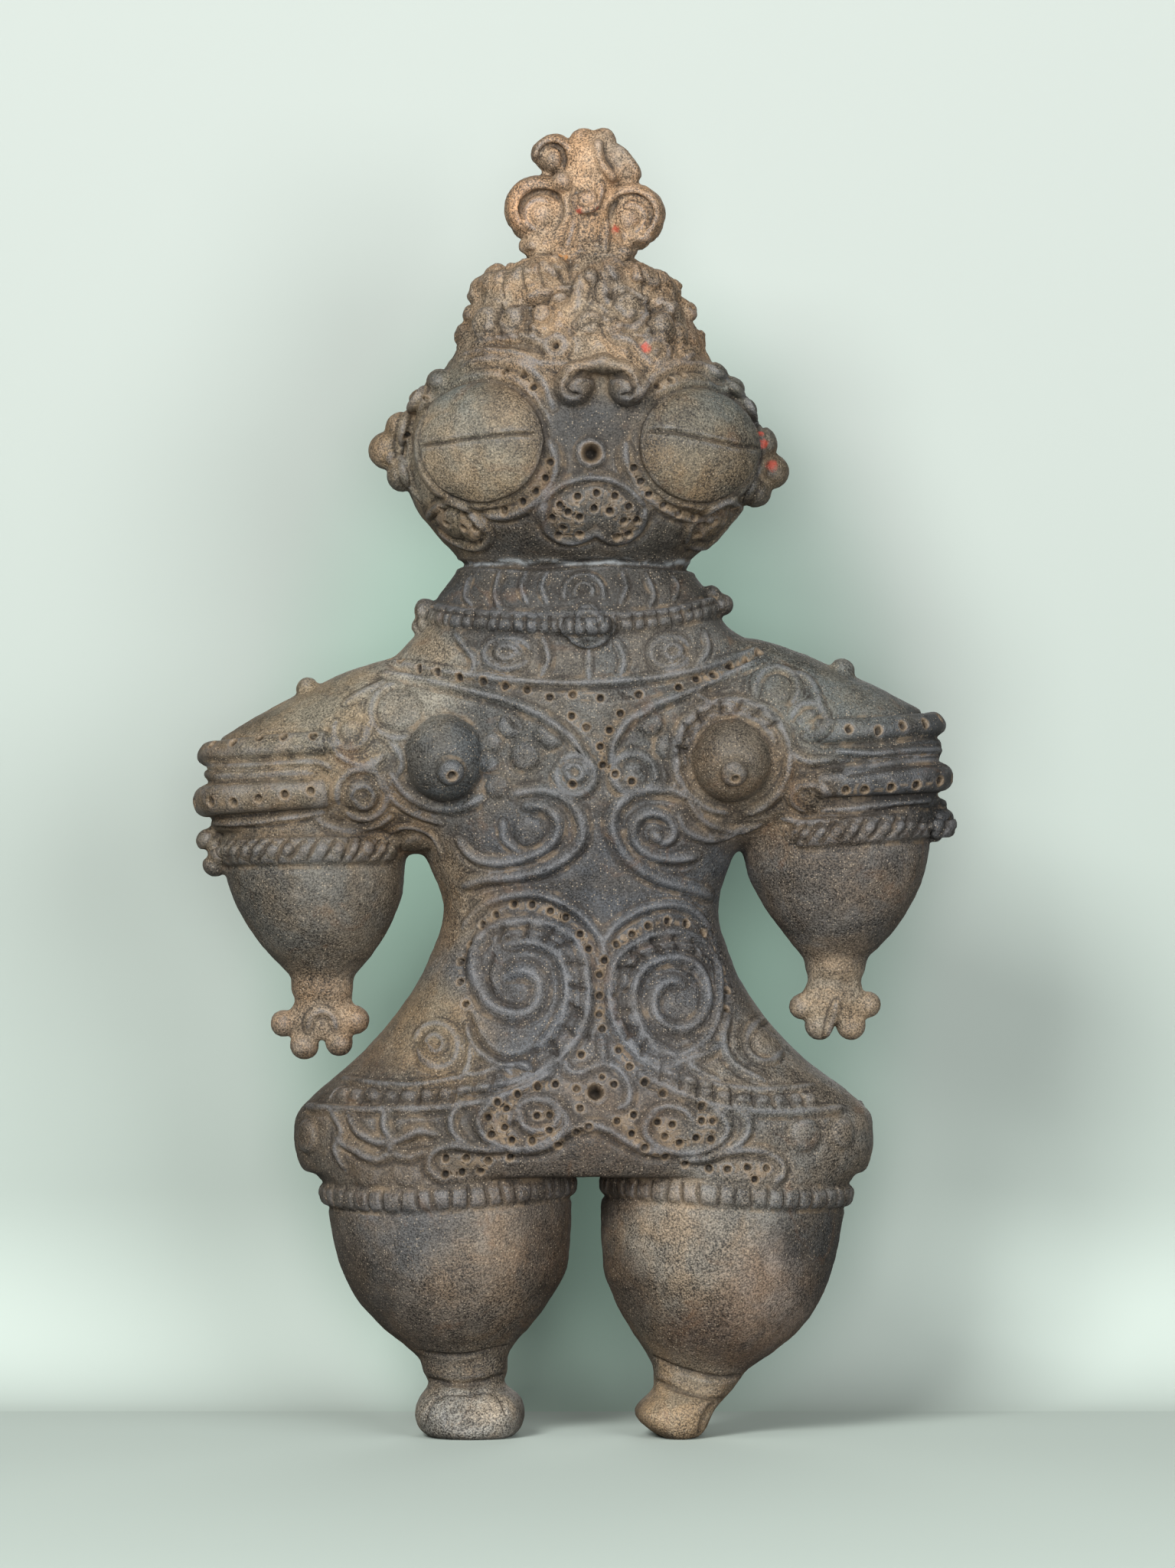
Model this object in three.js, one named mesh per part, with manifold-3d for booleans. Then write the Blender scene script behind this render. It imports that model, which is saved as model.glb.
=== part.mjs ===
// A goggle-eyed clay figurine on its two small feet: one piece of fired clay, hollow in life and solid here.
// Millimetres, +Z up, the front faces -Y. The origin is on the ground, midway between the arms' outer edges.
import * as THREE from "three";
import { mergeVertices } from "three/addons/utils/BufferGeometryUtils.js";
import Module from "manifold-3d";

const wasm = await Module();
wasm.setup();

// Driving sizes
const height = 360;
const crotch = 74.5;
const armpit = 158;
const neckTop = 241;
const crownTop = 325;
const bodyCentre = 5; // x of the mouth, navel and crotch, which lie to one side of the arms' middle
const lineWidth = 3.2; // a modelled clay line
const lineHeight = 1.3; // how far it stands out of the surface
const bandHeight = 2.2; // how far an arm band stands out
const sink = 1.2; // how far inside the surface the underside of either lies

// Cross sections of the lofted forms. Along Z: level, left, right, front, back.
// Along X: place, bottom, top, front, back.
const trunkSections = [
  [crotch, -75, 81.5, -34.5, 34],
  [80.5, -76.6, 82.6, -36.5, 36],
  [87, -76.6, 82.6, -37, 37],
  [94, -71, 76.5, -36, 36],
  [103, -60.5, 64.5, -34, 33.5],
  [115, -49.5, 53, -31, 30],
  [129, -40.6, 44.4, -28, 27],
  [145, -35.6, 40, -26, 25.5],
  [armpit, -40, 43.5, -28, 27.5],
  [175, -49, 53, -30.5, 29.5],
  [199, -52, 56, -29.5, 29],
  [213, -49.5, 53.5, -27.5, 27.5],
  [219, -44.5, 47.5, -27, 27],
  [223.5, -41.5, 42.5, -27.5, 27.5],
  [224.5, -42.5, 43, -29, 29],
  [229, -41, 42, -28.5, 28.5],
  [230, -37.5, 38, -26, 26],
  [neckTop, -30.5, 31, -22.5, 22.5],
  [neckTop + 4, -29, 30, -21, 21],
];
const shoulderSections = {
  left: [
    [-101.2, 171, 186.5, -11, 10],
    [-98.6, 166, 190.5, -17.5, 17],
    [-90, 161.5, 196.2, -22.5, 22],
    [-76, 160, 203.8, -26, 25],
    [-60, 160, 211, -28, 27],
    [-45, 160, 214.6, -28, 27],
    [-20, 168, 208, -20, 20],
  ],
  right: [
    [20, 168, 210, -20, 20],
    [48, 161, 219.4, -27.5, 26.5],
    [60, 161, 216.4, -28, 27],
    [76, 161.5, 209.6, -26, 25.5],
    [90, 164, 202.8, -22.5, 22],
    [98.6, 168.5, 197.6, -17, 16.5],
    [101.2, 174, 193.5, -11, 11],
  ],
};
const armSections = {
  left: [
    [126, -77.5, -61, -8, 8],
    [129, -80.2, -58, -11, 11],
    [134, -85.1, -54.1, -16, 15.5],
    [141, -90, -50, -20.5, 20],
    [150, -94.4, -46.8, -23.5, 23],
    [160, -96.5, -46.2, -24.5, 24],
    [174, -95, -54, -20, 19.5],
  ],
  right: [
    [131, 64, 80.5, -8, 8],
    [134, 61.2, 84, -11.5, 11.5],
    [140, 56.6, 89.2, -17, 16.5],
    [148, 51.2, 94.2, -21.5, 21],
    [157, 47.4, 97.4, -23.8, 23.3],
    [166, 46.6, 98.4, -24.5, 24],
    [180, 54, 95, -20, 19.5],
  ],
};
const handSections = {
  left: [
    [110, -76.5, -61, -4, 4],
    [114, -80, -57.6, -5.8, 5.5],
    [120.6, -76.4, -61, -6.6, 6.6],
    [121.6, -78, -60.2, -8.2, 8.2],
    [127, -77.6, -61, -8, 8],
  ],
  right: [
    [114, 65, 79, -4, 4],
    [118, 61, 82, -5.8, 5.5],
    [126, 64.8, 79, -6.6, 6.6],
    [127.2, 63.8, 80.8, -8.2, 8.2],
    [132, 64, 80.6, -8, 8],
  ],
};
const fingers = {
  // x, z, radius: the knuckles of each small paw
  left: [
    [-79.6, 113.4, 3.8],
    [-74, 107.4, 4],
    [-64.4, 108.2, 3.8],
    [-60, 114.4, 4],
  ],
  right: [
    [63.2, 118, 3.7],
    [67.8, 112.8, 4],
    [76.6, 112.8, 4],
    [81.2, 118.6, 3.7],
  ],
};
const legSections = {
  left: [
    [21, -41, -18.5, -11.5, 11.5],
    [24.5, -46, -16.6, -16, 16],
    [30, -52.8, -11.8, -22.5, 22],
    [38, -59.8, -6, -28, 27.5],
    [48, -64.6, -1.2, -31.5, 31],
    [62.6, -67.6, -0.2, -32.6, 32.2],
    [63.4, -69.4, -0.1, -34.6, 34.2],
    [69.2, -70.8, -0.6, -34.6, 34.2],
    [70.2, -73.6, -1, -35, 34.4],
    [77, -75, 5, -35, 34.4],
  ],
  right: [
    [17.5, 23.5, 46, -11.5, 11.5],
    [21.5, 20.8, 53, -16, 15.5],
    [28, 16.6, 61.4, -22.5, 22],
    [37, 11.6, 68, -28, 27.5],
    [47, 8.2, 71.8, -31.5, 31],
    [62.6, 7.4, 75, -32.6, 32.2],
    [63.4, 7.4, 76.4, -34.6, 34.2],
    [69.2, 8.8, 77.6, -34.6, 34.2],
    [70.2, 9.2, 80, -35, 34.4],
    [77, 5, 81, -35, 34.4],
  ],
};
const footSections = {
  left: [
    [0, -39.5, -16.5, -18, 16.5],
    [1.8, -42.2, -14.6, -20, 18.5],
    [6.5, -43.6, -13.2, -20.5, 18],
    [10.5, -42.2, -14.2, -17, 15.5],
    [14.8, -39.4, -19.4, -11.5, 11.5],
    [17.5, -41.4, -18, -12.5, 12.5],
    [24, -40.5, -19, -11.5, 11.5],
  ],
  right: [
    [0, 24.5, 35, -17, 16],
    [2.2, 20.5, 36.6, -19, 17.5],
    [6.6, 16.8, 38.6, -19.5, 17.5],
    [10, 19.2, 41.4, -17, 15.5],
    [13.5, 22.6, 44.6, -12.5, 12.5],
    [17, 22, 46.8, -12.5, 12.5],
    [22, 24, 48, -12, 12],
  ],
};
const headSections = [
  [238.5, -28.5, 29.5, -20, 21],
  [241, -31, 32, -23.5, 25],
  [247, -36.8, 39.8, -29.5, 31],
  [256, -43.6, 46.6, -33.5, 35.5],
  [267, -47, 51.3, -34.5, 37],
  [277, -45.8, 50.6, -34, 37],
  [288, -40.2, 45.4, -32.5, 36],
  [297, -33, 37.2, -29.8, 33],
  [308, -29, 33, -26.5, 29],
  [316, -26.5, 29, -21.5, 23.5],
  [320, -21, 23.5, -17, 18],
  [323.5, -12, 16.5, -12, 12],
  [crownTop + 3, -11, 14.5, -9.5, 9.5],
];
const topknotSections = [
  [crownTop, -11.2, 15.8, -9, 9],
  [327.5, -13.6, 15.6, -9.5, 9.5],
  [331, -12, 14, -9, 9],
  [344, -7, 13, -8, 8],
  [352, -5, 12, -7, 7],
  [357.5, -1.5, 9, -4.5, 4.5],
];

// Bulging forms: x, y, z and the half sizes along the surface and out of it, turned about Z by degrees
const eyes = [
  { centre: [-25, -27.2, 272.6], half: [18.6, 11.5, 16.6], turn: -20 },
  { centre: [33.6, -27.2, 272], half: [17.6, 11.5, 16.2], turn: 20 },
];
const eyeSlits = [
  [[-41.5, 271.2], [-33, 270.8], [-22, 272], [-10.5, 274.6]],
  [[20.5, 275], [31, 272.4], [41, 270.8], [49, 271.4]],
];
const breasts = [
  { centre: [-34, -25, 186.5], half: [13.4, 12.5, 13.4], nipple: [-33, 182.4] },
  { centre: [43.2, -24.5, 186.5], half: [12.4, 12.5, 12.4], nipple: [43.8, 182] },
];
const ears = [
  // x, z, radius
  [-51, 271, 5.4],
  [-46.6, 276, 5],
  [54.4, 265.6, 5.6],
  [50.4, 272.6, 5.4],
  [51, 260.4, 5],
];
const blindHoles = [
  { name: "mouth", place: [bodyCentre, 269], radius: 2.1, depth: 9 },
  { name: "navel", place: [6.2, 95.8], radius: 1.9, depth: 9 },
];
const crownHollows = [
  { centre: [-6.5, -25, 314.5], half: [5.6, 5, 3.6] },
  { centre: [11, -25, 314.5], half: [3, 4.5, 3] },
];
const rimKnobs = [
  // x, z, radius: the knobs that stand out of the outline, on the crown,
  [-20.5, 318.8, 3.4],
  [-26, 313.4, 3.4],
  [-29, 302.6, 3.4],
  [26, 315.8, 3.4],
  [30.8, 308.8, 3.2],
  [33.6, 301.2, 3],
  // the collar,
  [-40.4, 227, 3.4],
  [-41.6, 223, 2.6],
  [38, 231.2, 3],
  [41, 228.6, 3.2],
  // the shoulders and the elbows
  [-73, 205.4, 3.4],
  [74, 210.4, 3.4],
  [-100, 163.8, 3.6],
  [-98.4, 157.4, 3.6],
  [100, 172, 3.6],
  [100, 166.4, 3.4],
];
const crownLobes = [
  // x, z, radius, on the crown's face
  [-23.5, 305.5, 4.8],
  [-14.5, 305.5, 4.6],
  [-3.8, 311.8, 3.2],
  [14, 307.8, 4.4],
  [24.6, 303.8, 4],
  [20.8, 297, 3.4],
  [5, 316.2, 3.6],
];
const scrolls = [
  // x, z, radius, half depth, sense: the rolled ends of the topknot
  { place: [-9.6, 337.6], radius: 9.3, halfDepth: 7.5, sense: 1 },
  { place: [16.4, 335.8], radius: 9, halfDepth: 7.5, sense: -1 },
  { place: [-4.4, 351], radius: 6.8, halfDepth: 6, sense: 1 },
  { place: [11.5, 348.6], radius: 6.8, halfDepth: 6, sense: -1 },
];
const topknotBead = { place: [6, height - 4], radius: 4 };
const noseScrolls = [
  { place: [-0.4, 287.4], radius: 5.8 },
  { place: [13.6, 287.4], radius: 5.8 },
];
const collarBoss = { place: [4, 222.4], half: [6.2, 5], out: 3 };
const bosses = [
  // x, z, half width, half height: low round swellings of the front
  [0.4, 181.6, 4.8, 4.8],
  [16, 182.2, 5.6, 5.2],
  [-37, 108, 6.4, 5.8],
  [52, 109, 6.4, 5.8],
  [-73.2, 83, 4.6, 6.6],
  [63, 84, 4.4, 5],
  [75.4, 84, 4.4, 5],
  [-31, 251.4, 8, 5.4],
  [38, 251.6, 7.6, 5],
];

// Bands round the arms: the axis, x and z at both ends of the front, the width, and the degrees left open
const limbBands = [
  { name: "left upper arm, high", axis: -82, levels: [-67, 191.5, -103, 187.5], width: 5.2, open: 62 },
  { name: "left upper arm, low", axis: -82, levels: [-67, 178, -103, 173.5], width: 5.6, open: 62 },
  { name: "left elbow", axis: -72, levels: [-50, 162, -96, 160.5], width: 6, open: 40 },
  { name: "right upper arm, high", axis: 82, levels: [70, 193.2, 102, 195.6], width: 5.2, open: 62 },
  { name: "right upper arm, low", axis: 82, levels: [68, 178.5, 103, 181.2], width: 5.6, open: 62 },
  { name: "right elbow", axis: 73, levels: [50, 166, 98, 168.4], width: 6, open: 40 },
];

// A line that turns about a centre, its radius going evenly from one size to another
function coil([x, z], [fromRadius, toRadius], [fromAngle, toAngle], pieces = 8) {
  const points = [];
  for (let i = 0; i <= pieces; i++) {
    const t = i / pieces;
    const angle = THREE.MathUtils.degToRad(fromAngle + (toAngle - fromAngle) * t);
    const radius = fromRadius + (toRadius - fromRadius) * t;
    points.push([x + radius * Math.cos(angle), z + radius * Math.sin(angle)]);
  }
  return points;
}

function mirrored(points) {
  return points.map(([x, z]) => [2 * bodyCentre - x, z]);
}

// Lines on the front, each a smooth curve through x, z points
const frontLines = {
  necklace: [
    [[-50, 212.8], [-25, 208.6], [2, 206.8], [28, 209], [51, 216.5]],
    [[-48, 209.6], [-30, 205.6], [-14, 200.8], [-1, 193.6], [4.4, 186]],
    [[50, 212.6], [35, 205.8], [22, 200.8], [12.6, 194], [10.6, 187]],
  ],
  breasts: [
    coil([43.2, 186.5], [15, 15], [-170, 130], 7),
  ],
  chest: [
    [[-20, 175], [-9, 176.6], [1, 172.6], [1.6, 164], [-7, 156.6], [-19, 153.8], [-31, 151]],
    [[31, 175], [20, 177], [12, 171.6], [13, 162.4], [21, 154.8], [33, 151]],
    coil([-12, 165.8], [7.6, 6.4], [250, -20], 6),
    coil([21.6, 165.8], [7.6, 6.4], [-40, 230], 6),
  ],
  belly: [
    [[-31, 137], [-25, 146], [-12, 149.6], [1, 143.4], [8, 134]],
    [[-24, 140.4], [-9, 141.4], [2, 133], [4, 121], [-1, 108], [-14, 99.4], [-30, 96.6]],
    [[-18, 136], [-7, 135], [-1.2, 125], [-3.6, 114.6], [-14, 106.8], [-24, 107.6]],
    [[-24.5, 139.6], [-28.6, 129], [-20, 117.6], [-10, 118.8], [-11, 127.6], [-18, 127.6]],
    [[8, 134.4], [15, 142.6], [27, 146.4], [39, 137]],
    [[38.6, 132], [26, 138.8], [14, 135], [10, 123], [16, 108.4], [34, 97.6]],
    [[30, 124.4], [22.4, 122], [25.4, 112.8], [36, 115.4], [35, 127], [21, 130.6], [16, 120], [31, 104.6]],
  ],
  hips: [
    [[-75, 90.6], [-40, 91.4], [-20, 93.4], [-8, 98.6]],
    [[19, 99.4], [30, 95.6], [42, 92], [79, 90.2]],
    [[-2.4, 95], [-3, 85], [-14, 79.6], [-25.6, 86], [-21, 94]],
    [[12, 92], [16, 82.6], [30, 78], [41.4, 86], [36, 92.6]],
    [[-12, 79.4], [6, 86.4], [21, 78.6]],
  ],
  face: [
    [[-9.5, 252.6], [-4, 260], [4.6, 262.6], [13.4, 260.6], [19.4, 255]],
    [[-7.6, 256], [-5, 246.6], [5.8, 248], [16, 246.6], [19.2, 256]],
  ],
  crown: [
    [[-11, 322.4], [-19.5, 316.8], [-25.4, 308.6], [-29, 299]],
    [[15.4, 321.8], [23, 315.4], [28.6, 307.6], [32.4, 299]],
    [[-26, 296.8], [-4, 296.8], [14, 294.4], [30, 297]],
  ],
};
const backLines = [
  [[-50, 215], [-20, 210], [5, 208.6], [30, 210], [51, 215]],
  [[-31, 134], [-22, 145], [-8, 148], [3, 140], [5, 128], [-2, 113], [-20, 103]],
  [[-75, 91], [-40, 91.6], [5, 97]],
].flatMap((points, i) => (i === 0 ? [points] : [points, mirrored(points)]));

const wide = 2.35; // superellipse power of the flattened forms
const round = 2.05; // and of the limbs
const lineStep = 7.5; // along a line, between its sections
const bandStep = 36; // degrees between a band's sections
const castFrom = 200; // the rays that find the surface start this far out
const hairline = 0.05; // faces this thin have no sure direction
const shortestEdge = 1.5; // a join's shorter edges are closed up,
const greatestTurn = 25; // unless a face beside one would turn by more degrees than this

// One closed mesh as a solid
function solidOf(geometry) {
  const bare = geometry.index ? geometry.toNonIndexed() : geometry.clone();
  for (const name of Object.keys(bare.attributes)) {
    if (name !== "position") bare.deleteAttribute(name);
  }
  const merged = mergeVertices(bare, 1e-4);
  const mesh = new wasm.Mesh({
    numProp: 3,
    vertProperties: merged.attributes.position.array,
    triVerts: new Uint32Array(merged.index.array),
  });
  return new wasm.Manifold(mesh);
}

function geometryOf(solid) {
  const mesh = solid.getMesh();
  const geometry = new THREE.BufferGeometry();
  geometry.setAttribute("position", new THREE.BufferAttribute(mesh.vertProperties, 3));
  geometry.setIndex(new THREE.BufferAttribute(mesh.triVerts, 1));
  geometry.computeVertexNormals();
  return geometry;
}

// Rings of equal size joined into a closed skin, with a fan over each end
function skin(rings) {
  const count = rings[0].length;
  const points = rings.flat();
  const faces = [];
  for (let r = 0; r + 1 < rings.length; r++) {
    for (let s = 0; s < count; s++) {
      const a = r * count + s;
      const b = r * count + ((s + 1) % count);
      faces.push(a, b, b + count, a, b + count, a + count);
    }
  }
  const addEnd = (ring, first, turnedOver) => {
    const middle = points.length;
    const centre = ring.reduce((sum, p) => sum.add(p), new THREE.Vector3());
    points.push(centre.divideScalar(count));
    for (let s = 0; s < count; s++) {
      const a = first + s;
      const b = first + ((s + 1) % count);
      faces.push(...(turnedOver ? [middle, b, a] : [middle, a, b]));
    }
  };
  addEnd(rings[0], 0, true);
  addEnd(rings.at(-1), (rings.length - 1) * count, false);
  return new THREE.BufferGeometry().setFromPoints(points).setIndex(faces);
}

// A loft through superellipse sections, along Z or along X
function loft(sections, { sides = 24, power = wide, along = "z" } = {}) {
  const bent = (value) => Math.sign(value) * Math.abs(value) ** (2 / power);
  const rings = sections.map(([level, low, high, front, back]) => {
    const ring = [];
    for (let s = 0; s < sides; s++) {
      const angle = (2 * Math.PI * s) / sides;
      const u = (low + high) / 2 + (bent(Math.cos(angle)) * (high - low)) / 2;
      const y = (front + back) / 2 + (bent(Math.sin(angle)) * (back - front)) / 2;
      ring.push(along === "z" ? new THREE.Vector3(u, y, level) : new THREE.Vector3(level, y, u));
    }
    return along === "z" ? ring : ring.reverse();
  });
  return solidOf(skin(rings));
}

function ball([x, y, z], [a, b, c], { turn = 0, around = 10, rows = 6 } = {}) {
  const geometry = new THREE.SphereGeometry(1, around, rows);
  geometry.scale(a, b, c);
  geometry.rotateZ(THREE.MathUtils.degToRad(turn));
  geometry.translate(x, y, z);
  return solidOf(geometry);
}

// A short round bar along Y
function disc([x, z], y, radius, halfDepth, sides = 14) {
  const geometry = new THREE.CylinderGeometry(radius, radius, 2 * halfDepth, sides);
  geometry.translate(x, y, z);
  return solidOf(geometry);
}

// The outermost skin alone, so that pinched-off hollows between bars of clay are filled
function outerSkin(solid) {
  const bodies = solid.decompose();
  return bodies.reduce((a, b) => (b.volume() > a.volume() ? b : a));
}

function faceNormal([a, b, c]) {
  return b.clone().sub(a).cross(c.clone().sub(a)).normalize();
}

// Closes up the edges that joins and cuts leave too short to show, where the skin stays whole and no
// face near them turns by more than the limit
function closeShortEdges(solid, shortest, turnLimit) {
  const { vertProperties, triVerts } = solid.getMesh();
  const places = Array.from({ length: vertProperties.length / 3 }, (_, v) =>
    new THREE.Vector3().fromArray(vertProperties, 3 * v),
  );
  const faces = Array.from({ length: triVerts.length / 3 }, (_, f) => [...triVerts.slice(3 * f, 3 * f + 3)]);
  const facesAt = places.map(() => new Set());
  faces.forEach((face, f) => face.forEach((v) => facesAt[v].add(f)));
  const neighbours = (v) => new Set([...facesAt[v]].flatMap((f) => faces[f]).filter((u) => u !== v));
  const corners = (face) => face.map((v) => places[v]);

  // how far the faces at one end turn when that end moves to the other
  const leastCosine = (moved, kept) => {
    let least = 1;
    for (const f of facesAt[moved]) {
      if (faces[f].includes(kept)) continue;
      const after = faces[f].map((v) => (v === moved ? kept : v));
      least = Math.min(least, faceNormal(corners(faces[f])).dot(faceNormal(corners(after))));
    }
    return least;
  };
  const close = (moved, kept) => {
    for (const f of [...facesAt[moved]]) {
      if (faces[f].includes(kept)) {
        faces[f].forEach((v) => facesAt[v].delete(f));
        faces[f] = null;
      } else {
        faces[f] = faces[f].map((v) => (v === moved ? kept : v));
        facesAt[kept].add(f);
      }
    }
    facesAt[moved].clear();
  };

  const limit = Math.cos(THREE.MathUtils.degToRad(turnLimit));
  for (let closed = 1; closed > 0; ) {
    closed = 0;
    for (let a = 0; a < places.length; a++) {
      for (const b of neighbours(a)) {
        const length = places[a].distanceTo(places[b]);
        if (b < a || length > shortest) continue;
        const others = neighbours(b);
        if ([...neighbours(a)].filter((v) => others.has(v)).length !== 2) continue;
        const [ab, ba] = [leastCosine(a, b), leastCosine(b, a)];
        if (length > hairline && Math.max(ab, ba) < limit) continue;
        if (ab > ba) close(a, b);
        else close(b, a);
        closed++;
        break;
      }
    }
  }
  // vertices that touch with no edge between them are drawn apart, each towards its own neighbours
  const used = places.map((_, v) => v).filter((v) => facesAt[v].size);
  for (const v of used) {
    if (!used.some((u) => u !== v && places[u].distanceTo(places[v]) < hairline)) continue;
    const around = [...neighbours(v)];
    const middle = around.reduce((sum, u) => sum.add(places[u]), new THREE.Vector3());
    places[v].lerp(middle.divideScalar(around.length), 0.06);
  }
  const geometry = new THREE.BufferGeometry().setFromPoints(places);
  geometry.setIndex(faces.filter(Boolean).flat());
  return solidOf(geometry);
}

// Base forms
function makeBase() {
  const limbs = ["left", "right"].flatMap((side) => [
    loft(shoulderSections[side], { sides: 14, along: "x", power: round }),
    loft(armSections[side], { sides: 14, power: round }),
    loft(handSections[side], { sides: 8, power: round }),
    loft(legSections[side], { sides: 14, power: round }),
    loft(footSections[side], { sides: 10, power: 2.6 }),
    ...fingers[side].map(([x, z, r]) => ball([x, -0.5, z], [r, r + 0.4, r], { around: 6, rows: 3 })),
  ]);
  return wasm.Manifold.union([
    loft(trunkSections, { sides: 20 }),
    loft(headSections, { sides: 20, power: 2.2 }),
    loft(topknotSections, { sides: 10, power: 2.2 }),
    ...eyes.map((eye) => ball(eye.centre, eye.half, { turn: eye.turn, around: 12, rows: 8 })),
    ...breasts.map((breast) => ball(breast.centre, breast.half, { around: 10, rows: 7 })),
    ...ears.map(([x, z, r]) => ball([x, -2, z], [r, r + 1, r], { around: 6, rows: 3 })),
    ...scrolls.map((s) => disc(s.place, 0, s.radius, s.halfDepth, 12)),
    ...limbs,
  ]);
}

// Where a straight ray meets the surface, and which way the surface faces there
function makeFinder(solid) {
  const bothSides = new THREE.MeshBasicMaterial({ side: THREE.DoubleSide });
  const target = new THREE.Mesh(geometryOf(solid), bothSides);
  const caster = new THREE.Raycaster();
  const meet = (origin, direction) => {
    caster.set(origin, direction);
    return caster.intersectObject(target)[0];
  };
  return {
    // straight back at the front, or straight forward at the back
    face([x, z], facing = -1) {
      const hit = meet(new THREE.Vector3(x, facing * castFrom, z), new THREE.Vector3(0, -facing, 0));
      return hit && { point: hit.point, normal: hit.normal };
    },
    // level, out from an upright axis inside the form, at an angle about it
    round([x, z], angle) {
      const out = new THREE.Vector3(Math.cos(angle), Math.sin(angle), 0);
      const hit = meet(new THREE.Vector3(x, 0, z), out);
      return hit && { point: hit.point, normal: hit.normal.negate() };
    },
  };
}

function evenly(points, step = lineStep) {
  const curve = new THREE.CatmullRomCurve3(points.map(([x, z]) => new THREE.Vector3(x, 0, z)));
  const pieces = Math.max(3, Math.round(curve.getLength() / step));
  return curve.getSpacedPoints(pieces).map((p) => [p.x, p.z]);
}

// A bar of clay along a row of surface places. The profile is across, out pairs, and its ends fade.
function bar(places, profile, fade = 0.35) {
  const last = places.length - 1;
  const rings = places.map(({ point, normal }, i) => {
    const before = places[Math.max(i - 1, 0)].point;
    const after = places[Math.min(i + 1, last)].point;
    const forward = after.clone().sub(before).normalize();
    const across = normal.clone().cross(forward).normalize();
    const out = forward.clone().cross(across).normalize();
    const size = i > 0 && i < last ? 1 : fade;
    return profile.map(([u, v]) =>
      point.clone().addScaledVector(across, u * size).addScaledVector(out, v > 0 ? v * size : v),
    );
  });
  return solidOf(skin(rings));
}

const ridgeProfile = [
  [-lineWidth / 2, -sink],
  [lineWidth / 2, -sink],
  [0, lineHeight],
];
const slitProfile = [
  [0, -1.8],
  [0.9, 0.6],
  [-0.9, 0.6],
];
function bandProfile(width) {
  return [
    [-width / 2, -sink],
    [width / 2, -sink],
    [width / 2 - 0.8, bandHeight],
    [-width / 2 + 0.8, bandHeight],
  ];
}

function makeLines(find) {
  const front = Object.values(frontLines).flat();
  const places = [
    ...front.map((points) => evenly(points).map((p) => find.face(p, -1))),
    ...backLines.map((points) => evenly(points).map((p) => find.face(p, 1))),
  ];
  return places.map((row) => bar(row.filter(Boolean), ridgeProfile));
}

function makeBand(find, { axis, levels, width, open }) {
  const [fromX, fromZ, toX, toZ] = levels;
  const outward = axis < 0 ? Math.PI : 0;
  const half = 180 - open;
  const pieces = Math.round((2 * half) / bandStep);
  const places = [];
  for (let i = 0; i <= pieces; i++) {
    const angle = outward + THREE.MathUtils.degToRad(-half + (2 * half * i) / pieces);
    const x = axis + (Math.abs(toX - fromX) / 2) * Math.cos(angle);
    const level = fromZ + ((toZ - fromZ) * (x - fromX)) / (toX - fromX);
    places.push(find.round([axis, level], angle));
  }
  return bar(places, bandProfile(width), 0.6);
}

// Bosses, scroll faces, beads and knobs
function makeKnobs(find) {
  const onFace = ([x, z], half, out, facing = -1) => {
    const { point } = find.face([x, z], facing);
    return ball(point.toArray(), [half[0], out, half[1]], { around: 7, rows: 3 });
  };
  return [
    onFace(collarBoss.place, collarBoss.half, collarBoss.out),
    ...breasts.map((breast) => onFace(breast.nipple, [3.4, 3.4], 2.4)),
    ...noseScrolls.map((s) => onFace(s.place, [s.radius, s.radius], 3)),
    onFace([7, 293.6], [3, 3], 2.6),
    ...crownLobes.map(([x, z, r]) => onFace([x, z], [r, r], r * 0.7)),
    ...rimKnobs.map(([x, z, r]) => ball([x, -3, z], [r, r + 1.5, r], { around: 6, rows: 4 })),
    ...bosses.map(([x, z, a, b]) => onFace([x, z], [a, b], 2)),
    ball([topknotBead.place[0], 0, topknotBead.place[1]], Array(3).fill(topknotBead.radius)),
  ];
}

function makeScrollFaces(find) {
  return scrolls.map(({ place, radius, sense }) => {
    const turns = sense > 0 ? [-60, 380] : [240, -200];
    const row = coil(place, [radius - 1.6, radius * 0.3], turns, 7);
    return bar(row.map((p) => find.face(p)), ridgeProfile);
  });
}

function makeHollows(find) {
  const slits = eyeSlits.map((points) => bar(evenly(points, 6).map((p) => find.face(p)), slitProfile));
  const bores = blindHoles.map(({ place, radius, depth }) => {
    const { point } = find.face(place);
    return disc(place, point.y, radius, depth, 10);
  });
  const caves = crownHollows.map(({ centre, half }) => ball(centre, half, { around: 8, rows: 6 }));
  return [...slits, ...bores, ...caves];
}

function makeFigurine() {
  const base = makeBase();
  const find = makeFinder(base);
  const bands = limbBands.map((band) => makeBand(find, band));
  const reliefs = [...makeLines(find), ...bands, ...makeKnobs(find), ...makeScrollFaces(find)];
  const whole = outerSkin(wasm.Manifold.union([base, ...reliefs]));
  const cut = outerSkin(wasm.Manifold.difference([whole, ...makeHollows(find)]));
  return closeShortEdges(cut, shortestEdge, greatestTurn);
}

const firedClay = new THREE.MeshStandardMaterial({ color: 0x6a6052, roughness: 0.72, metalness: 0 });
const figurine = new THREE.Mesh(geometryOf(makeFigurine()), firedClay);
figurine.name = "figurine";
const group = new THREE.Group();
group.add(figurine);
export default group;
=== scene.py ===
import math

import bpy
import numpy as np
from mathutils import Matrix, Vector
from mathutils.bvhtree import BVHTree


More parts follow.
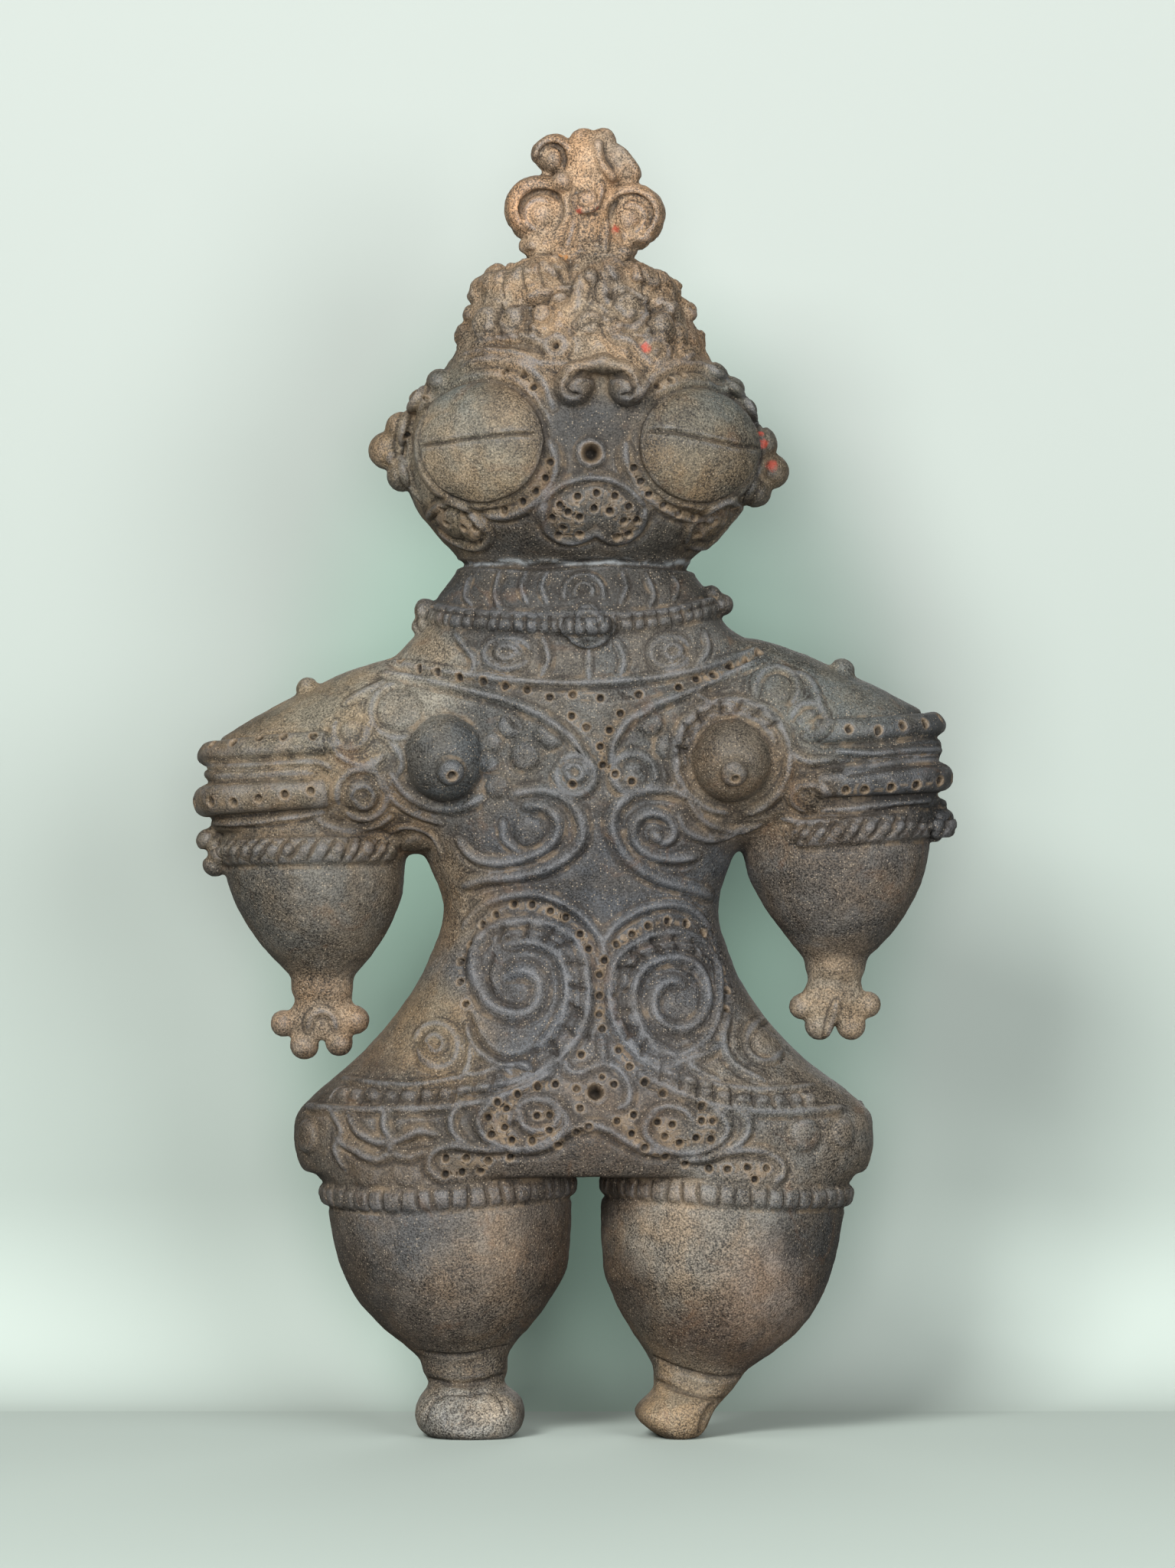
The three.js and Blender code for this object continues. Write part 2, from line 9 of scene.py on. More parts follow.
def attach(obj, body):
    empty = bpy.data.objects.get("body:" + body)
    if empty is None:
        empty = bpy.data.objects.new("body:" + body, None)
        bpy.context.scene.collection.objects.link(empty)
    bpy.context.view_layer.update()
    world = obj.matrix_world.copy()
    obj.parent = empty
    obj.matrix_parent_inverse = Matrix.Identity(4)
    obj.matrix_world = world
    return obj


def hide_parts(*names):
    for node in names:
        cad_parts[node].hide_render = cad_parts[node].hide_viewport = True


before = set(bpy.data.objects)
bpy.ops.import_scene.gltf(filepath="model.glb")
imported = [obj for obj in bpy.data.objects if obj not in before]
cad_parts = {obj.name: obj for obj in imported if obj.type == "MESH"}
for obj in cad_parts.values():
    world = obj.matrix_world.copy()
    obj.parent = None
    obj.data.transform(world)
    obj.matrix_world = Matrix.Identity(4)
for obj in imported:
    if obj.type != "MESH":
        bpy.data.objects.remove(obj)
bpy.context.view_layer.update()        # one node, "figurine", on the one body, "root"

mm = 0.001
scene = bpy.context.scene
print("frame loaded:", sorted(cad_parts))


# meshes from rows of points, in millimetres, +Z up, the front faces -Y

def between(levels, values, wanted):
    # a smooth curve through the values that never swings past them
    levels, values = np.asarray(levels, float), np.asarray(values, float)
    gaps = np.diff(levels)
    slopes = np.diff(values) / gaps
    rates = np.concatenate([slopes[:1], np.zeros(len(values) - 2), slopes[-1:]])
    for i in range(1, len(values) - 1):
        a, b = slopes[i - 1], slopes[i]
        if a * b > 0:
            rates[i] = 2 * a * b / (a + b)
    at = np.clip(np.searchsorted(levels, wanted) - 1, 0, len(gaps) - 1)
    t = (wanted - levels[at]) / gaps[at]
    h = gaps[at]
    return ((1 + 2 * t) * (1 - t) ** 2 * values[at] + t * (1 - t) ** 2 * h * rates[at]
            + t * t * (3 - 2 * t) * values[at + 1] + t * t * (t - 1) * h * rates[at + 1])


def skin(rings):
    # rings of equal size joined into a closed skin, with a fan over each end
    count = len(rings[0])
    points = [tuple(p) for ring in rings for p in ring]
    faces = []
    for r in range(len(rings) - 1):
        for s in range(count):
            a, b = r * count + s, r * count + (s + 1) % count
            faces.append((a, b, b + count, a + count))
    for first, turnedOver in ((0, True), ((len(rings) - 1) * count, False)):
        middle = len(points)
        points.append(tuple(np.mean(points[first:first + count], axis=0)))
        for s in range(count):
            a, b = first + s, first + (s + 1) % count
            faces.append((middle, b, a) if turnedOver else (middle, a, b))
    return points, faces


def bent(value, power):
    return math.copysign(abs(value) ** (2 / power), value)


def loft(sections, power=2.35, along="z", sides=96, step=1.5):
    # sections: level, low, high, front, back
    columns = np.array(sections, float).T
    count = max(4, int(round((columns[0][-1] - columns[0][0]) / step)))
    levels = np.linspace(columns[0][0], columns[0][-1], count)
    rows = [between(columns[0], column, levels) for column in columns[1:]]
    rings = []
    for level, low, high, front, back in zip(levels, *rows):
        ring = []
        for s in range(sides):
            angle = 2 * math.pi * s / sides
            u = (low + high) / 2 + bent(math.cos(angle), power) * (high - low) / 2
            y = (front + back) / 2 + bent(math.sin(angle), power) * (back - front) / 2
            ring.append((u, y, level) if along == "z" else (level, y, u))
        rings.append(ring if along == "z" else ring[::-1])
    return skin(rings)


def ball(place, half, turn=0, lean=0, around=36, rows=22):
    # turn is about Z, lean is about Y, in degrees
    cosT, sinT = math.cos(math.radians(turn)), math.sin(math.radians(turn))
    cosL, sinL = math.cos(math.radians(lean)), math.sin(math.radians(lean))
    rings = []
    for r in range(rows + 1):
        polar = math.pi * (0.02 + 0.96 * r / rows)
        ring = []
        for s in range(around):
            angle = 2 * math.pi * s / around
            x = half[0] * math.sin(polar) * math.cos(angle)
            y = half[1] * math.sin(polar) * math.sin(angle)
            z = -half[2] * math.cos(polar)
            x, z = x * cosL + z * sinL, z * cosL - x * sinL
            x, y = x * cosT - y * sinT, x * sinT + y * cosT
            ring.append((place[0] + x, place[1] + y, place[2] + z))
        rings.append(ring)
    return skin(rings)


def smoothPath(points, step=1.0):
    # a curve through the points, then evenly spaced points on it
    p = np.array(points, float)
    if len(p) > 2:
        ends = np.vstack([2 * p[0] - p[1], p, 2 * p[-1] - p[-2]])
        t = np.linspace(0, 1, 12, endpoint=False)[:, None]
        rows = []
        for a, b, c, d in zip(ends[:-3], ends[1:-2], ends[2:-1], ends[3:]):
            rows.append(0.5 * (2 * b + (c - a) * t + (2 * a - 5 * b + 4 * c - d) * t ** 2
                               + (3 * b - a - 3 * c + d) * t ** 3))
        p = np.vstack(rows + [p[-1:]])
    lengths = np.concatenate([[0], np.cumsum(np.linalg.norm(np.diff(p, axis=0), axis=1))])
    count = max(2, int(round(lengths[-1] / step)) + 1)
    wanted = np.linspace(0, lengths[-1], count)
    return np.stack([np.interp(wanted, lengths, p[:, i]) for i in range(p.shape[1])], axis=1)


def coil(place, radii, angles, pieces=14, squeeze=1.0):
    # a line that turns about a centre while its radius goes from one size to another
    points = []
    for i in range(pieces + 1):
        t = i / pieces
        angle = math.radians(angles[0] + (angles[1] - angles[0]) * t)
        radius = radii[0] + (radii[1] - radii[0]) * t
        points.append((place[0] + radius * math.cos(angle), place[1] + squeeze * radius * math.sin(angle)))
    return points


def roll(points, thick, deep, y=0.0, power=2.3, tip=0.45):
    # a strap of clay that follows x, z points, or x, z, y points; its width is along Y
    path = smoothPath(points, 1.0)
    ways = np.gradient(path[:, :2], axis=0)
    ways /= np.linalg.norm(ways, axis=1)[:, None]
    rings = []
    for i, (place, way) in enumerate(zip(path, ways)):
        middle = y + (place[2] if len(place) > 2 else 0.0)
        fromEnd = min(i, len(path) - 1 - i) / max(thick, 1e-6)
        size = tip + (1 - tip) * math.sqrt(max(0.0, 1 - (1 - min(1, fromEnd)) ** 2))
        ring = []
        for s in range(28):
            angle = 2 * math.pi * s / 28
            out, side = bent(math.cos(angle), power) * thick * size, bent(math.sin(angle), power) * deep * size
            ring.append((place[0] - way[1] * out, middle + side, place[1] + way[0] * out))
        rings.append(ring)
    if ringTurns(rings):
        rings = [ring[::-1] for ring in rings]
    return skin(rings)


def ringTurns(rings):
    # true where the skin of these rings would face inwards
    ring, after = np.array(rings[0]), np.array(rings[1])
    normal = np.cross(ring[1] - ring[0], after[0] - ring[0])
    return float(np.dot(normal, ring[0] - ring.mean(axis=0))) < 0


def meshObject(name, parts):
    points, faces = [], []
    for partPoints, partFaces in parts:
        first = len(points)
        points += [(x * mm, y * mm, z * mm) for x, y, z in partPoints]
        faces += [tuple(first + i for i in face) for face in partFaces]
    mesh = bpy.data.meshes.new(name)
    mesh.from_pydata(points, [], faces)
    thing = bpy.data.objects.new(name, mesh)
    scene.collection.objects.link(thing)
    return thing


def partsOf(thing):
    mesh = thing.data
    co = np.zeros(len(mesh.vertices) * 3, np.float32)
    mesh.vertices.foreach_get("co", co)
    return [tuple(p) for p in co.reshape(-1, 3) / mm], [tuple(f.vertices) for f in mesh.polygons]


def applied(thing, name):
    # the evaluated shape as a plain mesh, with no modifier left
    bpy.context.view_layer.update()
    seen = thing.evaluated_get(bpy.context.evaluated_depsgraph_get())
    mesh = bpy.data.meshes.new_from_object(seen)
    mesh.name = name
    thing.modifiers.clear()
    thing.data = mesh
    return thing


def worked(thing, name, voxel, rounds):
    # one skin over all the parts, then the joints rubbed smooth as wet clay
    remesh = thing.modifiers.new("oneSkin", "REMESH")
    remesh.mode = "VOXEL"
    remesh.voxel_size = voxel * mm
    rub = thing.modifiers.new("rub", "SMOOTH")
    rub.factor = 0.5
    rub.iterations = rounds
    return applied(thing, name)


# the body: level, left, right, front, back of each section

body = {
    "voxel": 0.56,
    "coarseVoxel": 1.0,
    "rubbing": 9,
    "fineRubbing": 5,
    "trunk": [
        (72.5, -74, 80.5, -33.5, 33), (76.5, -76, 82, -35.5, 35), (81.5, -76.8, 82.8, -36.7, 36.2),
        (87, -76.6, 82.6, -37, 37), (94, -71, 76.5, -36, 36), (103, -60.5, 64.5, -34, 33.5),
        (115, -49.5, 53, -31, 30), (129, -40.6, 44.4, -28, 27), (145, -35.6, 40, -26, 25.5),
        (158, -40, 43.5, -28, 27.5), (175, -49, 53, -30.5, 29.5), (199, -52, 56, -29.5, 29),
        (213, -49.5, 53.5, -27.5, 27.5), (219, -44.5, 47.5, -27, 27), (223.5, -40.6, 41.6, -27, 27),
        (229, -38.4, 39.4, -26.5, 26.5), (235, -34, 34.8, -24, 24), (240, -30.8, 31.6, -22, 22),
        (243, -29.6, 30.6, -21, 21),
    ],
    "shoulders": [
        [(-101.2, 171, 186.5, -11, 10), (-98.6, 166, 190.5, -17.5, 17), (-90, 161.5, 196.2, -22.5, 22),
         (-76, 160, 203.8, -26, 25), (-60, 160, 211, -28, 27), (-45, 160, 214.6, -28, 27),
         (-20, 168, 208, -20, 20)],
        [(20, 168, 210, -20, 20), (48, 161, 219.4, -27.5, 26.5), (60, 161, 216.4, -28, 27),
         (76, 161.5, 209.6, -26, 25.5), (90, 164, 202.8, -22.5, 22), (98.6, 168.5, 197.6, -17, 16.5),
         (101.2, 174, 193.5, -11, 11)],
    ],
    "arms": [
        [(126, -77.5, -61, -8, 8), (129, -80.2, -58, -11, 11), (134, -85.1, -54.1, -16, 15.5),
         (141, -90, -50, -20.5, 20), (150, -94.4, -46.8, -23.5, 23), (160, -96.5, -46.2, -24.5, 24),
         (174, -95, -54, -20, 19.5)],
        [(131, 64, 80.5, -8, 8), (134, 61.2, 84, -11.5, 11.5), (140, 56.6, 89.2, -17, 16.5),
         (148, 51.2, 94.2, -21.5, 21), (157, 47.4, 97.4, -23.8, 23.3), (166, 46.6, 98.4, -24.5, 24),
         (180, 54, 95, -20, 19.5)],
    ],
    "hands": [
        [(109, -76, -62, -4, 4), (114, -79.6, -58.4, -6, 5.6), (120.6, -76.2, -61.2, -6.8, 6.8),
         (121.8, -77.8, -60.4, -8.4, 8.4), (126.6, -77.6, -60.8, -8.2, 8.2), (128.5, -76, -62, -7, 7)],
        [(113, 65.6, 79, -4, 4), (118, 61.8, 81.4, -6, 5.6), (126.4, 64.9, 79, -6.8, 6.8),
         (127.4, 63.9, 80.7, -8.4, 8.4), (131.6, 64, 80.8, -8.2, 8.2), (133.5, 65, 79, -7, 7)],
    ],
    "legs": [
        [(20, -40.6, -19, -11, 11), (24.5, -46, -16.6, -16, 16), (30, -52.8, -11.8, -22.5, 22),
         (38, -59.8, -6, -28, 27.5), (48, -64.6, -1.2, -31.5, 31), (62.6, -67.6, -0.4, -32.8, 32.4),
         (70, -69.4, -0.4, -33, 32.6), (77, -71, 4, -33, 32.6)],
        [(16.5, 23.8, 45.6, -11, 11), (21.5, 20.8, 53, -16, 15.5), (28, 16.6, 61.4, -22.5, 22),
         (37, 11.6, 68, -28, 27.5), (47, 8.2, 71.8, -31.5, 31), (62.6, 7.6, 75, -32.8, 32.4),
         (70, 9, 76.6, -33, 32.6), (77, 5, 78, -33, 32.6)],
    ],
    "feet": [
        [(0, -39.5, -16.5, -18, 16.5), (1.8, -42.2, -14.6, -20, 18.5), (6.5, -43.6, -13.2, -20.5, 18),
         (10.5, -42.2, -14.2, -17, 15.5), (14.8, -39.4, -19.4, -11.5, 11.5), (17.5, -41.4, -18, -12.5, 12.5),
         (21, -41.6, -18, -12.8, 12.8), (25, -40.5, -19, -11.5, 11.5)],
        [(0, 24.5, 35, -17, 16), (2.2, 20.5, 36.6, -19, 17.5), (6.6, 16.8, 38.6, -19.5, 17.5),
         (10, 19.2, 41.4, -17, 15.5), (13.5, 22.6, 44.6, -12.5, 12.5), (17, 22, 46.8, -12.8, 12.8),
         (22, 24, 48, -12, 12)],
    ],
    "head": [
        (238.5, -28.5, 29.5, -20, 21), (241, -31, 32, -23.5, 25), (247, -36.8, 39.8, -29.5, 31),
        (256, -43.6, 46.6, -33.5, 35.5), (267, -47, 51.3, -34.5, 37), (277, -45.8, 50.6, -34, 37),
        (288, -40.2, 45.4, -32.5, 36), (297, -33, 37.2, -29.8, 33), (308, -28.4, 32.4, -26.5, 29),
        (316, -26, 28.5, -21.5, 23.5), (320, -21, 23.5, -17, 18), (323.5, -12, 16.5, -12, 12),
        (328, -11, 14.5, -9.5, 9.5),
    ],
    "topknot": [
        (322, -11.2, 15, -9, 9), (327.5, -13.4, 15.4, -9.5, 9.5), (331, -10, 12, -8.6, 8.6),
        (344, -5, 11.5, -7.6, 7.6), (352, -4, 12, -6.6, 6.6), (357.2, -0.5, 9, -4.5, 4.5),
    ],
    "eyes": [
        ((-24.8, -25.4, 270.8), (20, 10.8, 17.8), -24), ((33.2, -25.4, 269.9), (19.2, 10.8, 17.2), 24),
    ],
    "breasts": [((-34.8, -24, 186.4), (11.8, 12, 11.8), 0), ((43.4, -23.8, 185.8), (11.4, 12, 11.4), 0)],
}


def makeBody():
    forms = [loft(body["trunk"]), loft(body["head"], power=2.2), loft(body["topknot"], power=2.2)]
    for side in (0, 1):
        forms.append(loft(body["shoulders"][side], power=2.05, along="x"))
        forms.append(loft(body["arms"][side], power=2.05))
        forms.append(loft(body["hands"][side], power=2.05, step=0.6))
        forms.append(loft(body["legs"][side], power=2.05))
        forms.append(loft(body["feet"][side], power=2.6, step=0.6))
    coarse = worked(meshObject("coarse", forms), "coarse", body["coarseVoxel"], body["rubbing"])
    parts = [partsOf(coarse)]
    bpy.data.objects.remove(coarse)
    return parts


# clay laid on the body: rolls, balls and knobs that stand out of the outline

laidOn = {
    "rolls": [
        # x, z and y points, half thickness, half depth, y
        ([(-2, 319.8, -13), (-8, 319, -12), (-14, 317.4, -9.6), (-20, 315.4, -6), (-25.4, 312.8, -2)],
         5.0, 8.6, 0),
        ([(15, 318.6, -12.4), (19, 317.2, -10.6), (24, 314.6, -6.6), (28.4, 311.6, -2.4)], 4.8, 8.6, 0),
        ([(7, 356.6), (7, 352.5), (8.6, 348.4), (12, 345)], 1.5, 5.4, -3.6),
        ([(-3, 290), (0.4, 292.2), (4.6, 292.8), (8.2, 293.6)], 2.0, 5.4, -34),
        ([(17.6, 289.8), (14.6, 292), (11.2, 292.8), (8.2, 293.6)], 2.0, 5.4, -34),
        (coil((-9.5, 337.7), (6.6, 6.5), (-55, -320), 20), 2.8, 7.4, 0),
        (coil((16.3, 335.8), (6.5, 6.4), (-125, 150), 20), 2.7, 7.4, 0),
        (coil((-5.3, 352.1), (4.4, 4.2), (205, -40), 16), 1.9, 5.6, 0),
        ([(11, 354.6), (14.4, 351.8), (16.8, 348.6), (17.6, 345.4)], 1.8, 5.2, 0),
    ],
    "balls": [
        # x, y, z, then half sizes
        (-9.5, 0, 337.6, 8.2, 6.8, 8), (16.5, 0, 335.8, 8.2, 6.8, 7.8), (-5.3, 0, 352.2, 5.6, 5, 5.2),
        (-8.6, -4.2, 335.4, 4.2, 4, 4.2), (15.6, -4.2, 334.4, 4, 4, 4), (-5.4, -3, 350.8, 2.8, 3.4, 2.8),
        (-3.2, -6.6, 344.6, 3, 3.4, 3), (3, 0, 356.6, 3.8, 4.4, 3.3), (8, 0, 356.6, 3.8, 4.6, 3.4),
        (4, -4, 339, 6, 5.6, 6), (14, -1, 326, 3.2, 7.4, 2.5), (-11, -1, 327.6, 3.4, 7.4, 3),
        (4, -3, 350, 6, 5, 6), (11, -14.6, 318.2, 4.4, 7.4, 5),
        (5, -16.6, 315, 3, 7.4, 7.4), (4.6, -19.4, 317, 1.8, 5.6, 3.4), (4.6, -18, 309.6, 5.4, 8.4, 5),
        (-51, -2, 271, 5.3, 6.6, 5.2), (-47, -3, 277, 4.6, 8, 4.8), (-47, -4, 264.4, 4.2, 8, 4.8),
        (54.4, -2, 265.4, 5.1, 6.6, 5), (51.6, -3, 272.6, 4.8, 8, 5.2), (49.8, -3, 259.8, 4.8, 8, 4.6),
        (-41, -8, 284, 4.2, 8, 4), (-36.4, -9, 289.4, 4, 8, 3.8), (43, -8, 287.4, 4.2, 8, 3.8),
        (38.6, -9, 291.4, 4, 8, 3.6), (46.8, -6, 281.4, 4, 8, 4), (0.2, -33.4, 287.3, 5.6, 6.8, 5.6),
        (14.9, -33.4, 287.1, 5.3, 6.8, 5.4), (8.2, -32.6, 293.4, 3.2, 6.8, 3.2),
        (4, -26.4, 221.8, 6.2, 4.6, 5.2),
    ],
    "knobs": [
        # x, z, radius: on the crown, the collar, the shoulders and the elbows
        (-20.5, 318.8, 3.4), (-25.4, 314.6, 3.6), (-29, 302.6, 3.3), (26.4, 315.2, 3.6), (30.8, 308.8, 3.2),
        (33.6, 301.2, 3), (-27, 307.6, 3.2), (-40.4, 227, 3.4), (-42, 222.8, 2.5), (38, 231.2, 2.9),
        (41, 228.6, 3.1), (-73, 205.4, 3.3), (74, 210.4, 3.5), (-100.4, 163.8, 3.3), (-98.4, 157.4, 3.6),
        (99.8, 172, 3.8), (100, 166.8, 3.6),
    ],
    "fingers": [
        (-79.6, 113.4, 3.8), (-74, 107.4, 4), (-64.4, 108.2, 3.8), (-60, 114.4, 4), (63.2, 118, 3.7),
        (67.8, 112.8, 4), (76.6, 112.8, 4), (81.2, 118.6, 3.7),
    ],
    "leaf": ((12.4, 0, 350.2), (3.8, 5.4, 8), 0, -38),
}


def makeBase(parts):
    for points, thick, deep, y in laidOn["rolls"]:
        parts.append(roll(points, thick, deep, y))
    for x, y, z, a, b, c in laidOn["balls"]:
        parts.append(ball((x, y, z), (a, b, c)))
    for x, z, r in laidOn["knobs"]:
        parts.append(ball((x, -3, z), (r, r + 1.5, r)))
    for x, z, r in laidOn["fingers"]:
        parts.append(ball((x, -0.5, z), (r, r + 0.6, r)))
    for place, half, turn in body["eyes"] + body["breasts"]:
        parts.append(ball(place, half, turn, around=72, rows=40))
    place, half, turn, lean = laidOn["leaf"]
    parts.append(ball(place, half, turn, lean))
    return worked(meshObject("base", parts), "base", body["voxel"], body["fineRubbing"])


base = makeBase(makeBody())
print("body modelled:", len(base.data.polygons), "faces")


# finding the surface

surface = BVHTree.FromObject(base, bpy.context.evaluated_depsgraph_get())


def onFace(x, z, back=False):
    # straight back at the front, or straight forward at the back
    side = 0.2 if back else -0.2
    place, normal, index, distance = surface.ray_cast(Vector((x * mm, side, z * mm)), Vector((0, -side, 0)))
    return place


def onRound(axis, z, angle):
    # level, out from an upright axis inside the form, at an angle about it
    out = Vector((math.cos(angle), math.sin(angle), 0))
    place, normal, index, distance = surface.ray_cast(Vector((axis * mm, 0, z * mm)), out)
    return place


def draped(points, back=False, step=0.9):
    row = [onFace(x, z, back) for x, z in smoothPath(points, step)]
    return [p for p in row if p is not None]


def mirrored(points, middle=5.0):
    return [(2 * middle - x, z) for x, z in points]


# the carved front. Each line is its height, its half width and the x, z points it runs through

